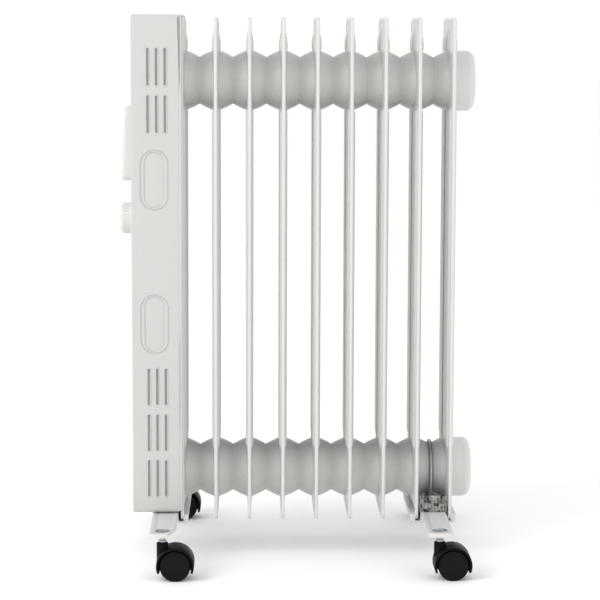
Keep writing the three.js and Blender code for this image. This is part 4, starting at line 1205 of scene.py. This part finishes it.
def hood(p, stem, axle, radius, top):
    """A caster's hood: an arched shell over both wheels, a web between them and a sleeve for the stem."""
    half, web = 16, 2.5
    inner = radius - p.hood_wall
    section = [(radius - 1.4, -half), (radius - 0.4, -half + 0.5), (radius, -half + 1.6)]
    section += [(radius, half - 1.6), (radius - 0.4, half - 0.5), (radius - 1.4, half), (inner, half)]
    section += [(inner, web), (3.4, web), (3.4, -web), (inner, -web), (inner, -half)]
    rings = []
    for u, v in arc(0, 0, 1, -22, 202, 56):
        rings.append([(axle[0] + r * u, axle[1] + w, axle[2] + r * v) for r, w in section])
    shell = lofted("hood_shell", rings, 40)
    sleeve = [(3.3, top), (5.6, top), (6.3, top - 0.5), (6.5, top - 1.4), (6.5, axle[2]), (3.3, axle[2])]
    collar = lathed("sleeve", sleeve, "z", (stem[0], stem[1], 0), 36, 40, closed=True)
    room = [(inner + 0.1, -30), (inner + 0.1, 30)]
    cut(collar, lathed("wheel_room", room, "y", axle, 64))
    return join(shell, sharpen(collar, 40))


def stem_pin(low, high, hood_top):
    """A caster's stem: a pin with a collar on the hood and a snap head over the bracket."""
    radius, collar, head = 3.0, 4.4, 3.7
    profile = [(radius, low), (radius, hood_top + 0.8), (collar, hood_top + 1.0), (collar, hood_top + 2.6)]
    profile += [(radius, hood_top + 2.9), (radius, high - 5.4), (head, high - 5.4), (head, high - 4.6)]
    return profile + [(2.6, high - 4.2)]


def stem_socket(plate):
    """The cup that holds a caster's stem in the bracket's hole, with a flange on the bracket."""
    profile = [(3.3, plate - 4.4), (6.6, plate - 4.4), (7.3, plate - 3.6), (7.3, plate - 0.6)]
    profile += [(8.4, plate - 0.4), (8.4, plate), (7.6, plate + 0.25), (6.5, plate - 0.4)]
    return profile + [(6.1, plate - 2.6), (3.3, plate - 2.8)]


def wheel_profile(face, back, edge):
    """Half a wheel's section: a plain outer face with a shallow step, a rounded tread and an open back."""
    radius, bore = 16.85, 2.9
    out = 1 if face > back else -1
    profile = [(bore, back), (radius - edge, back)]
    profile += [(radius - edge + r, back + out * (edge - w)) for r, w in arc(0, 0, edge, 90, 0, 4)]
    profile += [(radius - edge + r, face - out * (edge - w)) for r, w in arc(0, 0, edge, 0, 90, 4)]
    profile += [(radius - 2.2, face), (radius - 2.6, face - out * 0.5), (0.01, face - out * 0.4)]
    return profile + [(0.01, face - out * 1.1), (bore, face - out * 1.1)]


class HEATER_OT_casters(bpy.types.Operator):
    """Builds the four swivelling twin-wheel casters"""

    bl_idname = "heater.casters"
    bl_label = "Casters"

    def execute(self, context):
        p = Millimetres(context.scene.heater_feet)
        for spot in PLACES:
            stem_low, stem_high = box("caster_stem_" + spot)
            stem = (stem_low + stem_high) / 2
            hood_high = box("caster_hood_" + spot)[1]
            axle = centre("caster_axle_" + spot)
            middle = (axle.x, stem.y, axle.z)
            shell = hood(p, stem, middle, hood_high.x - axle.x, hood_high.z)
            shell.name = "hood_" + spot
            fit(shell, "black_nylon_moulded", "caster_" + spot, "black_nylon", "caster_hood_" + spot)

            spindle = (stem.x, stem.y, 0)
            pin = lathed("stem_" + spot, stem_pin(stem_low.z, stem_high.z, hood_high.z), "z", spindle, 32)
            fit(pin, "zinc_plated_steel", "radiator", "zinc_steel", "caster_stem_" + spot)
            cup = stem_socket(stem_high.z - STEM_PROUD)
            socket = lathed("socket_" + spot, cup, "z", spindle, 36, closed=True)
            fit(socket, "zinc_plated_steel", "radiator", "zinc_steel")

            low, high = box("caster_axle_" + spot)
            r, chamfer = (high.z - low.z) / 2, 0.6
            a, b = low.y + 1.2, high.y - 1.2
            bar = [(r - chamfer, a), (r, a + chamfer), (r, b - chamfer), (r - chamfer, b)]
            pin = lathed("axle_" + spot, bar, "y", (axle.x, 0, axle.z), 28)
            fit(pin, "zinc_plated_steel", "caster_" + spot, "zinc_steel", "caster_axle_" + spot)

            for letter in "ab":
                name = f"caster_wheel_{spot}_{letter}"
                low, high = box(name)
                face, back = (low.y, high.y) if letter == "a" else (high.y, low.y)
                profile = wheel_profile(face, back, p.wheel_edge)
                spindle = (axle.x, 0, axle.z)
                wheel = lathed(name.replace("caster_", ""), profile, "y", spindle, 64, 30, closed=True)
                fit(wheel, "black_polypropylene_wheel", "wheels_" + spot, "black_nylon", name)
        return {"FINISHED"}


# ---------------------------------------------------------------- stage


def area_light(name, at, aim, power, width, height):
    """A soft rectangular light, turned towards a point."""
    light = bpy.data.lights.new(name, "AREA")
    light.shape = "RECTANGLE"
    light.size, light.size_y, light.energy = width, height, power
    obj = bpy.data.objects.new(name, light)
    bpy.context.scene.collection.objects.link(obj)
    obj.location = at
    obj.rotation_euler = (Vector(aim) - Vector(at)).to_track_quat("-Z", "Y").to_euler()
    return obj


class HEATER_OT_stage(bpy.types.Operator):
    """Lays the floor, sets the studio light and places the camera"""

    bl_idname = "heater.stage"
    bl_label = "Stage"

    def execute(self, context):
        settings = context.scene.heater_stage
        radius = 1000 * settings.floor_radius
        floor = lathed("floor", [(radius, -20), (radius, 0)], "z", (0, 0, 0), 64)
        # Matt studio paper: pale and even, with no gloss of its own.
        base = [*settings.floor, 1.0]
        tree, inputs = shader("floor_matt_paper", base, Roughness=0.9, IOR=1.3)
        tree.links.new(patches(tree, 400, base, shade_of(base, 0.995)), inputs["Base Color"])
        floor.data.materials.append(bpy.data.materials["floor_matt_paper"])

        world = bpy.data.worlds.new("studio")
        world.use_nodes = True
        background = world.node_tree.nodes["Background"]
        background.inputs["Color"].default_value = (1, 1, 1, 1)
        background.inputs["Strength"].default_value = settings.sky
        context.scene.world = world
        context.scene.view_settings.view_transform = "Standard"
        aim = (0, 0, settings.aim)
        area_light("key", (-2.1, -1.7, 1.9), aim, settings.key, 1.6, 1.6)
        area_light("fill", (2.0, -2.0, 1.0), aim, settings.fill, 1.8, 1.4)

        lens = bpy.data.cameras.new("camera")
        lens.sensor_width = 36
        lens.lens = 124.98
        lens.shift_y = -0.06
        camera = bpy.data.objects.new("camera", lens)
        context.scene.collection.objects.link(camera)
        camera.location = (-0.0503, -2.3833, 0.59)
        tilt, roll, turn = 90 - 6.2, -0.18, -1.29
        camera.rotation_euler = [math.radians(angle) for angle in (tilt, roll, turn)]
        lens.clip_end = 200
        context.scene.camera = camera
        return {"FINISHED"}


# ---------------------------------------------------------------- add-on


OPERATORS = [
    HEATER_OT_finishes,
    HEATER_OT_fins,
    HEATER_OT_cover,
    HEATER_OT_pod,
    HEATER_OT_knob,
    HEATER_OT_brackets,
    HEATER_OT_bolts,
    HEATER_OT_casters,
    HEATER_OT_stage,
]


class HEATER_PT_panel(bpy.types.Panel):
    """Lists the pieces of the heater and their sizes"""

    bl_label = "Oil Filled Radiator Heater"
    bl_idname = "HEATER_PT_panel"
    bl_space_type = "VIEW_3D"
    bl_region_type = "UI"
    bl_category = "Heater"

    def draw(self, context):
        for operator in OPERATORS:
            self.layout.operator(operator.bl_idname)
        for name, group in GROUPS.items():
            column = self.layout.column(align=True)
            for key in group.__annotations__:
                column.prop(getattr(context.scene, name), key)


def register():
    """Registers the classes and hangs the property groups on the scene."""
    for made in (*GROUPS.values(), *OPERATORS, HEATER_PT_panel):
        bpy.utils.register_class(made)
    for name, group in GROUPS.items():
        setattr(bpy.types.Scene, name, PointerProperty(type=group))


def unregister():
    """Takes away what register made, in reverse."""
    for name in GROUPS:
        delattr(bpy.types.Scene, name)
    for made in reversed((*GROUPS.values(), *OPERATORS, HEATER_PT_panel)):
        bpy.utils.unregister_class(made)


def main():
    """Builds the heater."""
    register()
    for operator in OPERATORS:
        getattr(bpy.ops.heater, operator.bl_idname.split(".")[1])()


if __name__ == "__main__":
    main()
